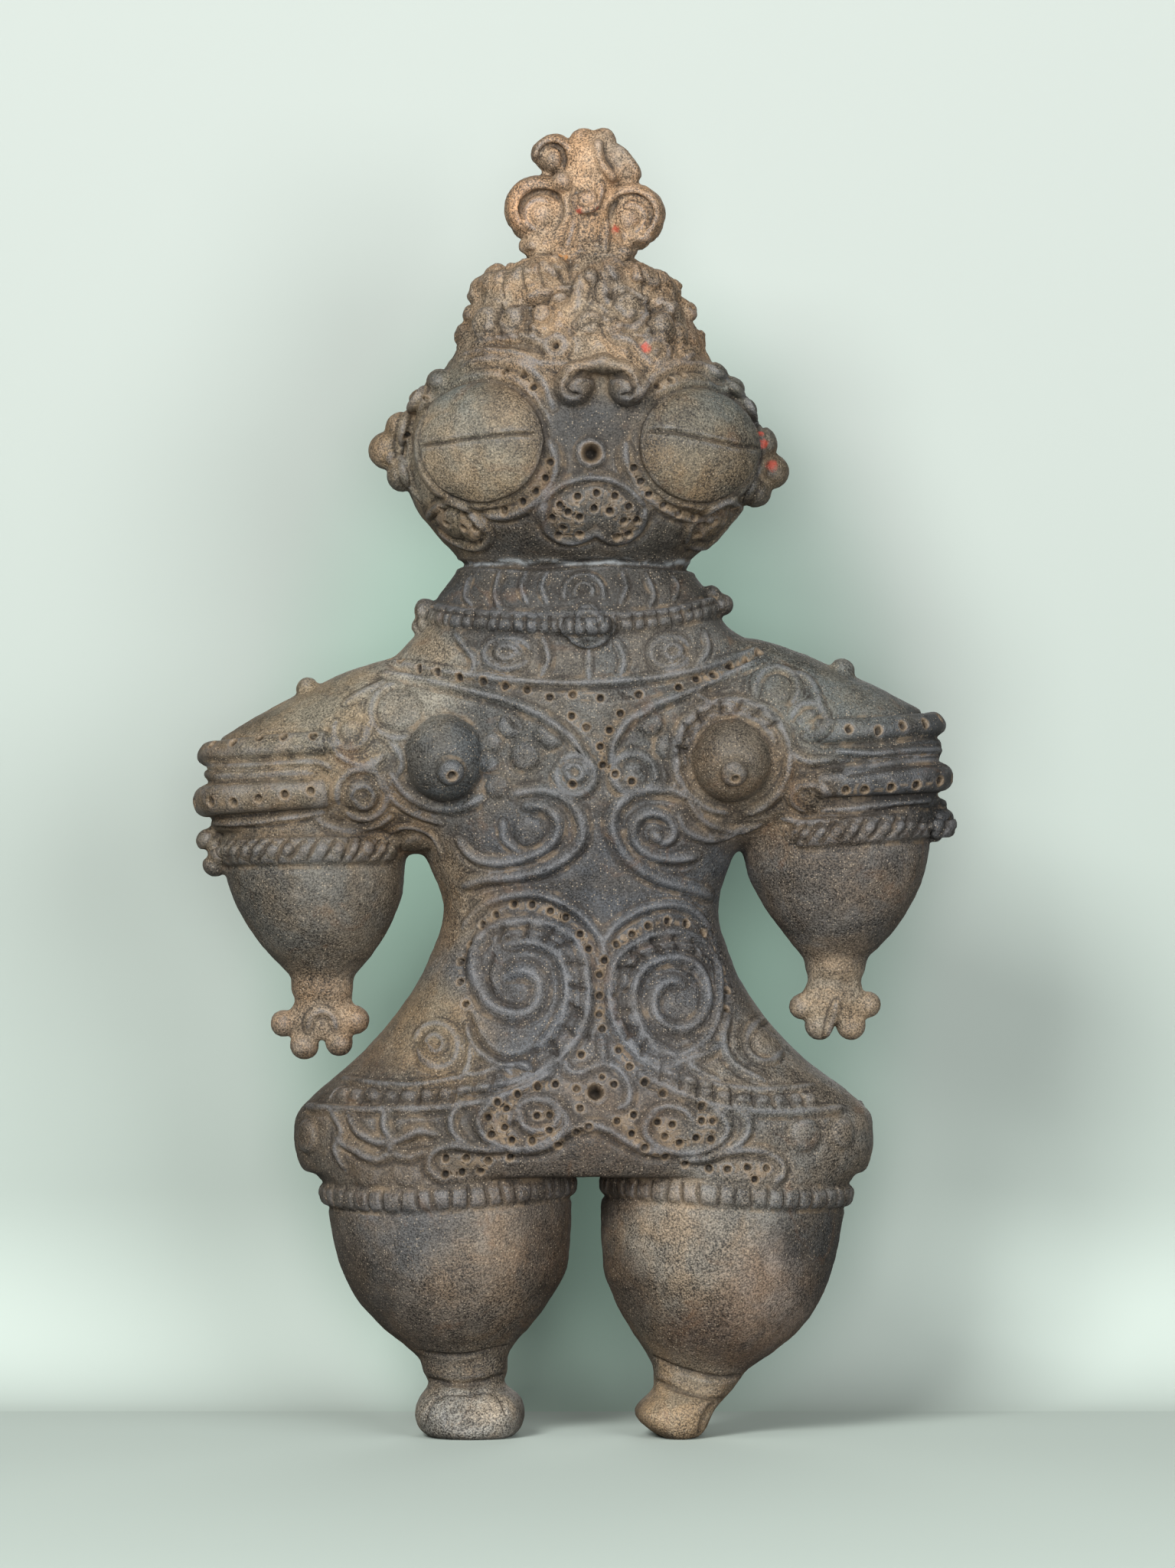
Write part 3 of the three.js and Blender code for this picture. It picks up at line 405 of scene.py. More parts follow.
ridges = {
    "belly left": [
        (1.1, 1.3, [(-30, 140), (-27, 144), (-22, 147.3), (-16, 149), (-10, 149.2), (-4, 147.4), (1, 144.4),
                    (5, 140.8), (8, 136), (8.6, 132)]),
        (1.2, 1.4, [(-24, 139.4), (-19, 141.4), (-13, 142), (-6, 141), (0, 138), (3, 133), (4, 126),
                    (4, 118), (2, 112), (-2, 106.5), (-7, 102.5), (-14, 99.2), (-22, 97), (-32, 95.8)]),
        (1.1, 1.4, [(-18, 135.6), (-12, 136.4), (-6, 134.4), (-3, 131), (-1.6, 126), (-1.8, 120),
                    (-3.4, 115.6), (-6, 111.4), (-9.4, 108)]),
        (1.3, 1.9, [(-24, 139), (-27, 134.6), (-27.4, 129.6), (-25.8, 124), (-22.6, 119.4), (-18, 117.2),
                    (-13.6, 117), (-10.4, 119), (-8.8, 122.4), (-9.4, 126), (-12, 128.2), (-15.6, 128.4),
                    (-18, 127)]),
        (1.1, 1.3, [(-28.6, 114), (-27.6, 109.4), (-24.4, 105.6), (-19.4, 102.8), (-14.6, 103.2),
                    (-11, 101.6)]),
        (0.9, 1.1, [(-27.8, 108.4), (-28.2, 103.4), (-30.4, 99.4)]),
        (0.8, 1.0, [(-30, 100.4), (-25, 100.8), (-19.4, 102.6), (-16.6, 100.6)]),
    ],
    "belly right": [
        (1.1, 1.3, [(8.4, 136), (11, 140), (15, 143), (20, 145.4), (26, 146.5), (31, 145.6), (35, 142.8),
                    (37.6, 138.6)]),
        (1.2, 1.4, [(38.6, 132.6), (35.4, 136.4), (31, 138.4), (25.6, 138.8), (20, 137.6), (15, 134.8),
                    (11.6, 131), (10.2, 126), (10, 121), (11, 116), (13, 111.6), (16, 107.6), (20, 104),
                    (26, 100.6), (34, 97.8)]),
        (1.35, 1.6, [(29.8, 125), (26.5, 125.6), (23.5, 124), (22, 121), (22.5, 117), (25, 114),
                     (29, 112.8), (33, 113.8), (36, 117), (37, 121.5), (36, 126.5), (33, 130.3),
                     (28.5, 132), (24, 131.5), (20, 129.6), (17.4, 126), (16.6, 121), (17.5, 115.5),
                     (20, 110.5), (24, 107), (29, 105)]),
        (1.1, 1.3, [(36.6, 136), (39.4, 131.4), (40.4, 125), (40, 118), (38, 112), (34.4, 108), (29, 105.4)]),
        (1.1, 1.3, [(42.6, 116), (41, 110.6), (42, 105.6), (46, 101.6), (52, 98.6)]),
        (1.0, 1.2, [(41, 109), (36.4, 106), (31, 104.4), (26, 102.4), (22, 104)]),
        (0.9, 1.1, [(31, 104.4), (34, 101.4), (40, 98.6)]),
    ],
    "belly middle": [
        (1.0, 1.2, [(-2.2, 103.8), (-1, 101.5), (1.5, 101), (4.5, 102.2), (8, 103.4), (11.5, 102.5),
                    (14, 100), (15.5, 96.5), (15, 93), (12.5, 91.5)]),
        (0.9, 1.1, [(7.6, 112), (8, 108), (8.3, 104)]),
    ],
    "chest left": [
        (1.3, 1.7, [(-16, 176.6), (-9, 177.6), (-3, 176.2), (1, 172.4), (2.6, 168), (2.2, 163.6),
                    (-1, 159.8), (-6, 156.7), (-12, 154.6), (-18, 153.8), (-25, 153.2), (-30, 151.4)]),
        (1.2, 1.6, [(-31, 164), (-29, 160.8), (-25, 158.4), (-19, 157.8), (-13, 159.2), (-8, 161.4),
                    (-4.6, 165), (-4.2, 169.6), (-7.6, 173), (-12.4, 173.4)]),
        (0.9, 1.2, [(-19, 169), (-18.6, 164.4), (-15, 161)]),
    ],
    "chest right": [
        (1.3, 1.7, [(34, 174), (28, 177.4), (22, 178), (15.6, 176.2), (11.6, 172.4), (10.8, 167.4),
                    (12.6, 162.2), (16, 157.8), (20.6, 154.6), (26, 152.4), (32, 150.8), (38, 148.5)]),
        (1.2, 1.5, [(22, 166), (24.4, 163.4), (27.4, 165.4), (26.4, 169.4), (22, 171.4), (17.8, 169.8),
                    (16.4, 166), (18, 162), (22, 159.6), (28, 158.8), (34, 159.6)]),
        (1.1, 1.3, [(28.6, 171), (31, 166.5), (35, 164.6), (39, 164.2), (43, 165.4), (47, 168)]),
    ],
    "necklace": [
        (1.0, 1.2, [(-50, 212.8), (-38, 210.6), (-25, 208.6), (-12, 207.2), (2, 206.8), (16, 207.6),
                    (28, 209.2), (40, 212.2), (51, 216.5)]),
        (1.2, 1.4, [(-52, 209.6), (-40, 207.6), (-30, 205.3), (-20, 202.6), (-12, 199.6), (-5, 195.8),
                    (0, 191.4), (3, 186.8), (4.4, 182)]),
        (1.2, 1.4, [(52, 213.2), (42, 209.2), (33, 205), (26, 202.4), (20, 199.6), (14.6, 196),
                    (11.4, 191), (10.6, 186), (12, 181)]),
        (1.1, 1.3, coil((0.6, 181.6), (5.4, 5), (130, -200))),
        (0.9, 1.0, coil((0.4, 182), (2.8, 1.6), (160, -180), 9)),
        (1.1, 1.3, coil((16.4, 182), (6, 5.6), (170, -190), squeeze=0.94)),
        (1.0, 1.4, [(-42, 228), (-41, 222.5)]),
    ],
    "breasts": [
        (1.1, 1.4, coil((43.4, 186.4), (15.8, 15.8), (-75, 210), 24)),
        (0.7, 1.0, coil((43.4, 186.4), (12.2, 12.2), (20, 170), 14)),
        (1.1, 1.5, [(-49.4, 182), (-46.4, 177.6), (-41.6, 174), (-36, 172.4), (-30, 173), (-25, 175.6)]),
        (0.9, 1.2, [(-54.8, 186), (-52, 179), (-47.6, 174), (-42, 170.6), (-36, 168.8)]),
        (0.8, 1.1, [(-49.6, 190.4), (-47, 187.6), (-46.4, 184.4), (-48, 181.4)]),
        (0.9, 1.2, [(27.4, 189), (28.6, 182), (31.6, 176.4), (36.4, 172.8), (42, 171.4)]),
        (0.9, 1.2, [(31, 176), (34.4, 170.4), (40, 167.2), (46, 166.4), (51.4, 168.4)]),
    ],
    "shoulders": [
        (0.8, 1.3, [(-62, 201.4), (-57.6, 204.2), (-52, 207)]),
        (0.8, 1.3, coil((-57.2, 176.4), (7, 6.6), (200, -130))),
        (0.6, 1.1, coil((-57, 176), (3.4, 2.4), (180, -160), 9)),
        (0.7, 1.2, coil((-47.6, 199), (7.8, 7), (100, 290))),
        (0.7, 1.2, coil((-60, 193.6), (5.2, 4), (150, 380))),
        (0.8, 1.3, [(-66, 191), (-63.6, 187.2), (-59.6, 184.8), (-54.6, 184.4), (-51.8, 187)]),
        (0.7, 1.2, [(-70, 170), (-66, 167.4), (-60, 166.4), (-54, 167.6), (-49.6, 170.6)]),
        (0.7, 1.1, [(-50.6, 165.6), (-46.4, 167.6), (-41.4, 166.8), (-37.4, 163.6), (-36, 159.4)]),
        (0.8, 1.3, coil((56, 205.4), (6.2, 5.4), (190, -40))),
        (0.7, 1.2, coil((64.6, 196.6), (5, 4.4), (170, -110))),
        (0.8, 1.3, [(60.4, 210), (64, 208.6), (66.4, 204.6), (67.4, 199)]),
        (0.7, 1.2, coil((64.6, 175.6), (5.8, 5), (20, 250), squeeze=0.7)),
        (0.7, 1.2, [(58.6, 188), (64, 185.4), (70, 185.6)]),
        (0.7, 1.2, [(57, 170), (64, 168.8), (72, 170)]),
        (0.6, 1.0, [(33.6, 203.8), (38, 201.4), (44, 200.6)]),
    ],
    "collar": [
        (0.9, 1.0, [(-38, 228.4), (-30, 226.8), (-18, 225.8), (-6, 225.4), (4, 226), (14, 225.6),
                    (26, 226.8), (38, 230)]),
        (0.8, 1.0, coil((4.2, 224.8), (2.9, 2.6), (200, -40), 10)),
        (0.9, 1.1, [(-3, 224), (-1.6, 220), (1.4, 217.6), (4, 216.9), (6.8, 217.6), (9.8, 220), (10.8, 224)]),
        (0.8, 1.1, coil((-18, 214.8), (6.4, 6), (20, 330), squeeze=0.72)),
        (0.8, 1.1, coil((-18, 214.8), (3.2, 2), (0, 320), 9, squeeze=0.72)),
        (0.9, 1.2, coil((26.6, 215), (5.4, 5), (30, 340), squeeze=0.85)),
        (0.8, 1.1, coil((26.8, 215), (2.6, 1.6), (0, 320), 9)),
        (0.5, 0.9, [(4.4, 216), (4.4, 207.4)]),
        (0.9, 1.1, [(-32, 220), (-27, 213.4), (-27.6, 210)]),
        (0.9, 1.1, [(-8, 219), (-6.6, 213.4), (-8.4, 209)]),
        (0.9, 1.1, [(12, 218), (14, 213.4), (13, 209)]),
        (0.9, 1.1, [(36, 221), (36.8, 215.6), (33.8, 211.6)]),
        (0.9, 0.9, coil((3, 231.6), (2.4, 2.4), (200, -20), 9)),
        (0.8, 0.9, coil((3, 231), (5.4, 5.4), (190, -10), 12)),
        (0.7, 0.9, [(-7, 228.6), (-8.4, 233), (-7, 237)]),
        (0.7, 0.9, [(-12.4, 228.6), (-14, 233), (-12.6, 237)]), (0.7, 0.9, [(13, 228.6), (14.6, 233), (13.4, 237)]),
        (0.7, 0.9, [(27.4, 229.6), (28.6, 233), (27.4, 236)]),
        (0.9, 1.0, [(-28, 236), (-29.4, 231), (-27.6, 228)]),
        (0.9, 1.0, [(-20, 237), (-21.2, 231), (-20, 227.4)]),
        (0.9, 1.0, [(20, 236.4), (22, 231), (21, 227.6)]),
    ],
    "hips": [
        (1.1, 1.3, [(-75, 91), (-60, 90.8), (-46, 91), (-32, 92), (-22, 94), (-13, 97), (-6, 101.4)]),
        (0.9, 1.1, [(-63, 98.8), (-50, 97.6), (-40, 98), (-31, 99.6)]),
        (1.1, 1.3, [(18.6, 100.4), (24, 97.8), (31, 94.8), (39, 92), (48, 90.6), (60, 90.2), (74, 91)]),
        (0.9, 1.1, [(34, 98.6), (44, 97), (54, 96.2), (66, 97)]),
        (1.2, 1.5, coil((-13.6, 87.6), (12, 12), (60, -245), 24, squeeze=0.62)),
        (1.0, 1.3, [(-30.4, 93), (-33, 89), (-32.4, 84.6), (-28.6, 81.6)]),
        (1.0, 1.4, coil((-9.4, 89.4), (6, 4.8), (160, -190), squeeze=0.8)),
        (1.2, 1.5, coil((30.8, 86), (11.2, 11.2), (140, 405), 24, squeeze=0.6)),
        (1.0, 1.3, [(43.6, 92), (47.4, 88.4), (47.2, 84), (43.4, 80.6), (37, 78.8)]),
        (0.9, 1.2, [(21.4, 90.6), (26, 92), (30.6, 90.6), (32.4, 88)]),
        (1.1, 1.5, [(-14, 80.2), (-8, 82), (-2, 85), (3, 86.6), (7, 86.6), (11, 85), (15, 82.4),
                    (20, 80.2), (26, 79.2)]),
        (1.0, 1.3, [(-35, 71.6), (-39, 75), (-37.6, 79.6), (-32, 81.2), (-25, 80.2), (-18, 80.4)]),
        (1.0, 1.3, [(30, 77.6), (36, 77.6), (42, 79.4), (50, 79.8), (55.6, 77.6), (57.4, 74), (55, 70.8)]),
        (1.1, 1.4, [(-61, 89), (-58.4, 84.6), (-53, 82), (-47.4, 82.6), (-42, 85), (-37, 84.4)]),
        (1.1, 1.4, [(-51, 90.4), (-51.4, 86.4), (-49.6, 82.8), (-49.8, 79), (-53.6, 77.4), (-59, 79.4),
                    (-64.6, 82.6)]),
        (1.0, 1.3, [(-49.8, 79), (-44.6, 78), (-40, 79.4)]),
        (0.9, 1.2, [(-66, 90), (-63, 85), (-64.8, 80), (-62, 74)]),
        (0.8, 1.2, coil((-37, 108), (6.4, 5.4), (160, -170))),
        (0.7, 1.0, coil((-37, 108), (2.8, 1.6), (160, -170), 9)),
        (0.7, 1.1, coil((53, 109), (6, 5), (20, 330))),
    ],
    "face": [
        (1.0, 1.2, [(-9.6, 252.4), (-7, 257), (-2.4, 260.6), (3.6, 262.2), (10, 261.8), (15.4, 259),
                    (19.4, 255)]),
        (1.1, 1.4, [(-7.4, 255.6), (-8, 251), (-5.4, 246.6), (-1, 245), (3, 245.8), (6.4, 247.4),
                    (10, 245.4), (14.6, 245.6), (18.4, 248.8), (19.8, 253.4)]),
        (1.2, 1.5, [(-6.4, 272), (-4.6, 267.4), (-5.2, 262.4), (-8.4, 257.4), (-13, 254), (-18.6, 252),
                    (-24, 252.6)]),
        (1.2, 1.5, [(14.4, 271.4), (14.6, 266.6), (17.4, 261.4), (21.4, 256.6), (26.6, 253.4),
                    (32.6, 251.6), (38, 252)]),
        (1.2, 1.5, [(-30, 293.4), (-25, 295), (-17, 294.4), (-10.8, 291.6), (-7.4, 287.4), (-5.4, 281.6)]),
        (0.9, 1.1, [(-30, 297), (-22, 297.6), (-14, 296), (-8, 293)]),
        (1.2, 1.5, [(17.6, 283.4), (20.4, 288.4), (24.4, 291.8), (30, 293.8), (36.4, 293.4), (42, 290.4)]),
        (1.0, 1.3, [(-40.6, 288.4), (-44.4, 283), (-46.6, 277), (-47, 270), (-45.6, 263), (-42, 257.4)]),
        (1.0, 1.3, [(43.6, 289), (48, 283.6), (50.6, 277), (51.4, 270), (50.2, 263), (46.6, 256.6)]),
        (1.0, 1.2, [(-40, 252.4), (-36.6, 255.6), (-31.4, 255.4), (-26.4, 252), (-22.8, 247),
                    (-25.6, 243.8), (-31.4, 245), (-37, 248.8)]),
        (1.0, 1.4, [(31, 245.4), (32.4, 250), (37, 253.4), (43, 256.4), (46.4, 254.4), (43, 249),
                    (36.6, 244.6), (32, 244.4)]),
        (0.7, 1.0, coil((5, 269), (3.3, 3.3), (0, 360), 12)),
        (0.8, 1.0, [(-46, 266), (-44.6, 271), (-45.6, 276)]),
    ],
    "topknot": [
        (0.7, 1.0, coil((-9, 336), (4.6, 3.4), (250, 60), 10)),
        (0.6, 0.9, coil((15.8, 335), (4.4, 3.2), (-70, 110), 9)),
        (0.8, 1.0, [(0.6, 342), (0.2, 338.8), (2, 336.4), (5, 336.8), (7.4, 339), (7.8, 344)]),
        (0.8, 1.1, [(-1.4, 327), (-0.6, 330), (0.4, 334)]),
        (0.7, 1.1, [(8.8, 326), (9.2, 330), (9.4, 334)]),
    ],
    "crown": [
        (0.9, 1.6, [(-24, 295.6), (-16, 294.6), (-9, 293.6), (-2, 293.6)]),
        (0.7, 1.3, [(-27, 300.4), (-20, 301.2), (-12, 301), (-7.6, 299.2)]),
        (1.0, 1.3, coil((-4.6, 298.6), (2.7, 2.5), (120, 480), 10)),
        (1.1, 1.4, coil((22.6, 296.8), (3.8, 3.2), (200, -100), 10)),
        (1.0, 1.3, [(11, 301), (16, 299.4), (19.4, 295.6), (22.6, 293.4), (28, 294), (33, 296.6)]),
        (1.1, 1.6, [(1.4, 309.6), (2, 314), (3, 319)]),
        (1.1, 1.6, [(9.4, 310.4), (8.6, 314.6), (7.6, 319)]),
        (1.0, 1.4, [(9.6, 302.6), (13, 303.4), (17.4, 304.4), (19.8, 307.6), (20.6, 311.8)]),
        (0.9, 1.3, [(1, 304.4), (4.6, 306.4), (9, 305.4)]),
    ],
    "arms": [
        (0.9, 1.1, [(-101, 184.4), (-90, 184.6), (-80, 185.2), (-70, 185.6), (-66, 183.6)]),
        (0.9, 1.1, [(-100, 181.4), (-90, 181.4), (-80, 182), (-71, 182.2)]),
        (0.8, 1.1, [(-99, 168.6), (-90, 168.6), (-78, 170), (-68, 171.4)]),
        (0.9, 1.1, [(101, 188.6), (92, 188.4), (82, 187.6), (72, 188.2)]),
        (0.9, 1.1, [(102, 186), (92, 185.6), (82, 184.4), (74, 183.2)]),
        (0.8, 1.1, [(98, 175), (88, 174), (78, 172.6), (68, 172)]),
    ],
    "hands": [
        (0.8, 1.2, [(-73, 111.6), (-72, 115.4), (-69, 117), (-66, 115.4), (-65, 112)]),
        (0.8, 1.2, [(70, 110), (71.4, 115), (72.4, 119)]),
    ],
}
grooves = {
    "eyes": [
        (1.0, 0.62, [(-42, 271.3), (-35, 272), (-26, 273.2), (-17, 274), (-10, 274.2)]),
        (1.0, 0.62, [(20.5, 275), (28, 274.5), (36, 272.8), (45, 271.2), (51, 271)]),
        (1.0, 0.95, coil((-24.8, 272.3), (17.7, 17.7), (0, 360), 30, squeeze=0.975)),
        (1.0, 0.95, coil((34.4, 271.3), (17.1, 17.1), (0, 360), 30, squeeze=0.955)),
    ],
    "brow scroll": [
        (1.9, 0.8, [(5.4, 289.6), (2, 290.2), (-1, 289), (-2.2, 286.4), (-0.8, 284.6), (1.4, 284.6)]),
        (1.9, 0.8, [(10.2, 289.6), (13.2, 290), (16, 288.8), (17, 286.2), (15.8, 284.5), (13.6, 284.5)]),
    ],
    "belly": [
        (0.8, 0.9, [(-21.6, 133), (-23.2, 128.6), (-22.6, 123.6), (-19.6, 120), (-15.6, 118.8), (-12.4, 119.4)]),
        (1.0, 1.0, [(-28.6, 117), (-26.8, 111.6), (-23, 107), (-18.4, 104.8), (-14, 105.2), (-9.6, 107.4)]),
        (0.9, 1.0, [(13.6, 128), (12.8, 122), (14, 116), (17, 111)]),
    ],
    "crown": [
        (4.4, 1.8, [(-0.6, 314.4), (-5.6, 313), (-10, 311), (-15, 309.6)]),
        (2.4, 1.4, [(9.6, 312.6), (14.6, 313), (20, 311.4), (25, 308.6)]),
        (1.2, 1.2, [(-20, 310), (-20.4, 306), (-19.4, 301.6)]),
        (1.1, 1.2, [(-12.4, 309.6), (-12.6, 305.6), (-12, 301.6)]),
        (1.0, 1.0, [(20.4, 311.4), (21.2, 306.6)]),
        (1.2, 1.0, [(10, 313), (12, 312), (14, 313.2)]),
        (0.6, 1.0, [(-24, 299), (-18, 299), (-12, 298), (-8, 296.4)]),
        (0.9, 1.0, [(-6.4, 322), (-3.4, 318.6), (-1.6, 315.6)]),
        (0.9, 0.9, [(-0.6, 323), (-0.8, 319), (-0.4, 315)]),
    ],
    "topknot": [
        (0.9, 0.9, [(-13.6, 334.6), (-14, 337.6), (-12.6, 340.4), (-9.4, 342), (-5.6, 341.4), (-3.4, 339),
                    (-3.4, 335), (-4.8, 331.8)]),
        (0.9, 0.9, [(10.2, 334.6), (10.8, 337.6), (13.2, 340.2), (17.2, 340.8), (20.4, 339), (21.4, 335.6),
                    (20.2, 332.4)]),
        (0.9, 0.8, [(-9.2, 350.6), (-8.8, 353.2), (-6.6, 354.8), (-3.6, 354.2), (-2.4, 351.2), (-2.8, 348.6)]),
        (1.0, 0.9, [(-0.4, 341), (1.4, 342.2), (4.4, 341.8)]),
        (0.8, 0.7, [(2.6, 328.8), (5.4, 328.6), (8, 328.9)]),
        (0.8, 0.8, [(8.6, 354.6), (9.4, 351), (11.6, 347)]),
        (1.2, 0.55, [(-10, 324.8), (-7, 325), (-5, 324), (-2, 323.3), (1.5, 323.8), (3, 324.8), (5, 324.5),
                     (7, 323.8), (11, 323.3), (14, 323), (16.5, 323.5)]),
    ],
    "feet": [
        (0.9, 1.0, [(-41.4, 16.4), (-36, 15.2), (-30, 14.8), (-24, 15.6), (-19, 17)]),
        (0.8, 0.9, [(-42, 23.8), (-36, 23), (-30, 23), (-24, 24), (-18, 25)]),
        (0.5, 0.6, [(-41, 3), (-37.6, 11.2), (-29.6, 12.2), (-21.4, 12.4), (-18, 6.4)]),
        (0.9, 1.0, [(22.6, 15.4), (28, 13.6), (34, 12.2), (40, 10.6), (45, 10)]),
        (0.8, 0.9, [(22, 22), (28, 19.6), (35, 17.6), (41, 16.6), (47, 17)]),
        (1.3, 1.6, [(35, 1.6), (35.6, 4.6), (37, 7.4), (39.6, 10)]),
    ],
    "arch scoring": [
        (0.35, 0.5, [(-5.6, 323.2), (-4.6, 319.6), (-3, 316.4)]), (0.4, 0.55, [(-9.4, 322.4), (-9, 318), (-7.4, 314.6)]),
        (0.35, 0.5, [(-13.6, 321), (-13.8, 317), (-12.4, 313.6)]), (0.3, 0.5, [(-18.4, 320), (-19, 316.4), (-18.6, 312)]),
        (0.35, 0.5, [(18, 321), (19.4, 317.4), (19.4, 313.4)]), (0.3, 0.5, [(23, 319), (24.4, 315.4), (24.4, 311)]),
    ],
    "loose scratches": [
        (0.7, 0.8, [(12.6, 204.4), (14.4, 203), (16, 202.6)]),
        (0.8, 0.8, [(-18, 197.6), (-16, 195.4), (-14.4, 194)]),
        (0.8, 0.7, [(18.4, 183.6), (19.4, 182.2)]),
        (1.0, 0.8, [(4.2, 111.6), (4.7, 110)]),
    ],
}
# depth, half width: flat sunken ways with dots in them
sunken = {
    "necklace": (0.4, 2.1, [
        [(-49, 211.6), (-37, 209.6), (-24.5, 207), (-12.5, 204.8), (0, 203.4), (12, 203.6), (22, 204.4),
         (34, 208), (43, 211.5), (51, 215)],
        [(-4, 201), (2, 197), (7, 192), (8, 185)], [(18, 200.8), (12, 198.6), (8.4, 191)],
    ]),
    "belly": (0.35, 2.2, [
        [(-31, 121), (-31.4, 130), (-28, 137), (-22, 143), (-14, 145.6), (-6, 144.8), (1, 140), (5, 134.4)],
        [(7.4, 130), (7.3, 122), (7, 114), (5, 107), (1, 98)],
        [(10.4, 133), (15, 138.2), (21, 141.4), (28, 142.2), (34, 140), (38.6, 134.6), (42.4, 126), (42, 118)],
    ]),
    "left foot": (1.0, 4.6, [[(-35.4, 7), (-22.6, 8)]]),
    "eyes": (0.35, 2.0, [
        [(-7, 268), (-8.2, 262.6), (-10.8, 259.2), (-14.2, 256.5), (-20, 254.2)],
        [(17, 266.4), (19.3, 261.8), (21.5, 258.5), (25.2, 255.6), (30, 253.6), (34, 253)],
    ]),
}
# height, half width, distance between notches, notch half length: bands standing out of the front
frontBands = {
    "collar": (1.5, 2.7, 3.6, 2.1, [(-39.4, 225.8), (-30, 224.2), (-18, 223.2), (-6, 222.6), (2, 222.2),
                                    (12, 223), (24, 224.4), (34, 226.6), (40, 228.6)]),
    "left belt": (0.8, 3.0, 5.2, 2.2, [(-66, 94.6), (-50, 94.2), (-38, 94.8), (-28, 96.2), (-18, 99.2)]),
    "right belt": (0.8, 3.0, 5.2, 2.2, [(22, 102), (30, 98.4), (40, 95), (50, 93.4), (66, 93.2)]),
    "belly left": (0.3, 1.9, 6.3, 2.1, [(-22, 137.6), (-16, 139.2), (-9, 138.8), (-3, 136.4), (0.2, 132),
                                        (1.3, 126), (1.2, 119.6), (-0.6, 113.4), (-4, 108.4), (-9, 104.2),
                                        (-16, 101.2)]),
    "belly right": (0.3, 1.9, 6.0, 2.2, [(36, 134), (31, 135.4), (25.6, 135.6), (20, 134), (15.6, 130.8),
                                         (13.4, 126), (13.2, 120), (14.6, 114), (18, 108.8), (23, 104.8)]),
    "right breast": (0.3, 1.7, 5.6, 1.8, coil((43.4, 186.4), (14, 14), (25, 190), 14)),
}
slanted = {
    # degrees that the notches lean, and whether there are beads between them
    "belly left": (24, True), "belly right": (-24, True), "left belt": (14, True), "right belt": (-14, True),
    "right breast": (10, True),
}
# upright axis, x and z at both ends of the front, half width, height, degrees left open, notch spacing
limbBands = [
    (-82, (-67, 191.2, -103, 187.3), 3.7, 2.7, 58, 0),
    (-82, (-67, 177.4, -103, 174.2), 4.6, 3.0, 58, 0),
    (-72, (-48, 161.8, -97, 160.8), 4.0, 1.9, 26, 4.3),
    (82, (69, 193.2, 103, 196.4), 3.6, 2.7, 58, 0),
    (82, (67, 178.8, 103, 181.6), 4.2, 3.0, 58, 0),
    (73, (48, 164.6, 99, 168.4), 4.0, 1.9, 58, 4.3),
]
legBands = [
    # axis, front x and z points, half width, height, notch spacing
    (-35, [(-71, 66.4), (-50, 65.6), (-30, 67), (-15, 68.2), (-1, 69)], 3.1, 1.5, 4.7),
    (42, [(8, 69.4), (25, 68.6), (40, 67.6), (60, 66.4), (78, 66)], 3.1, 1.5, 4.7),
]
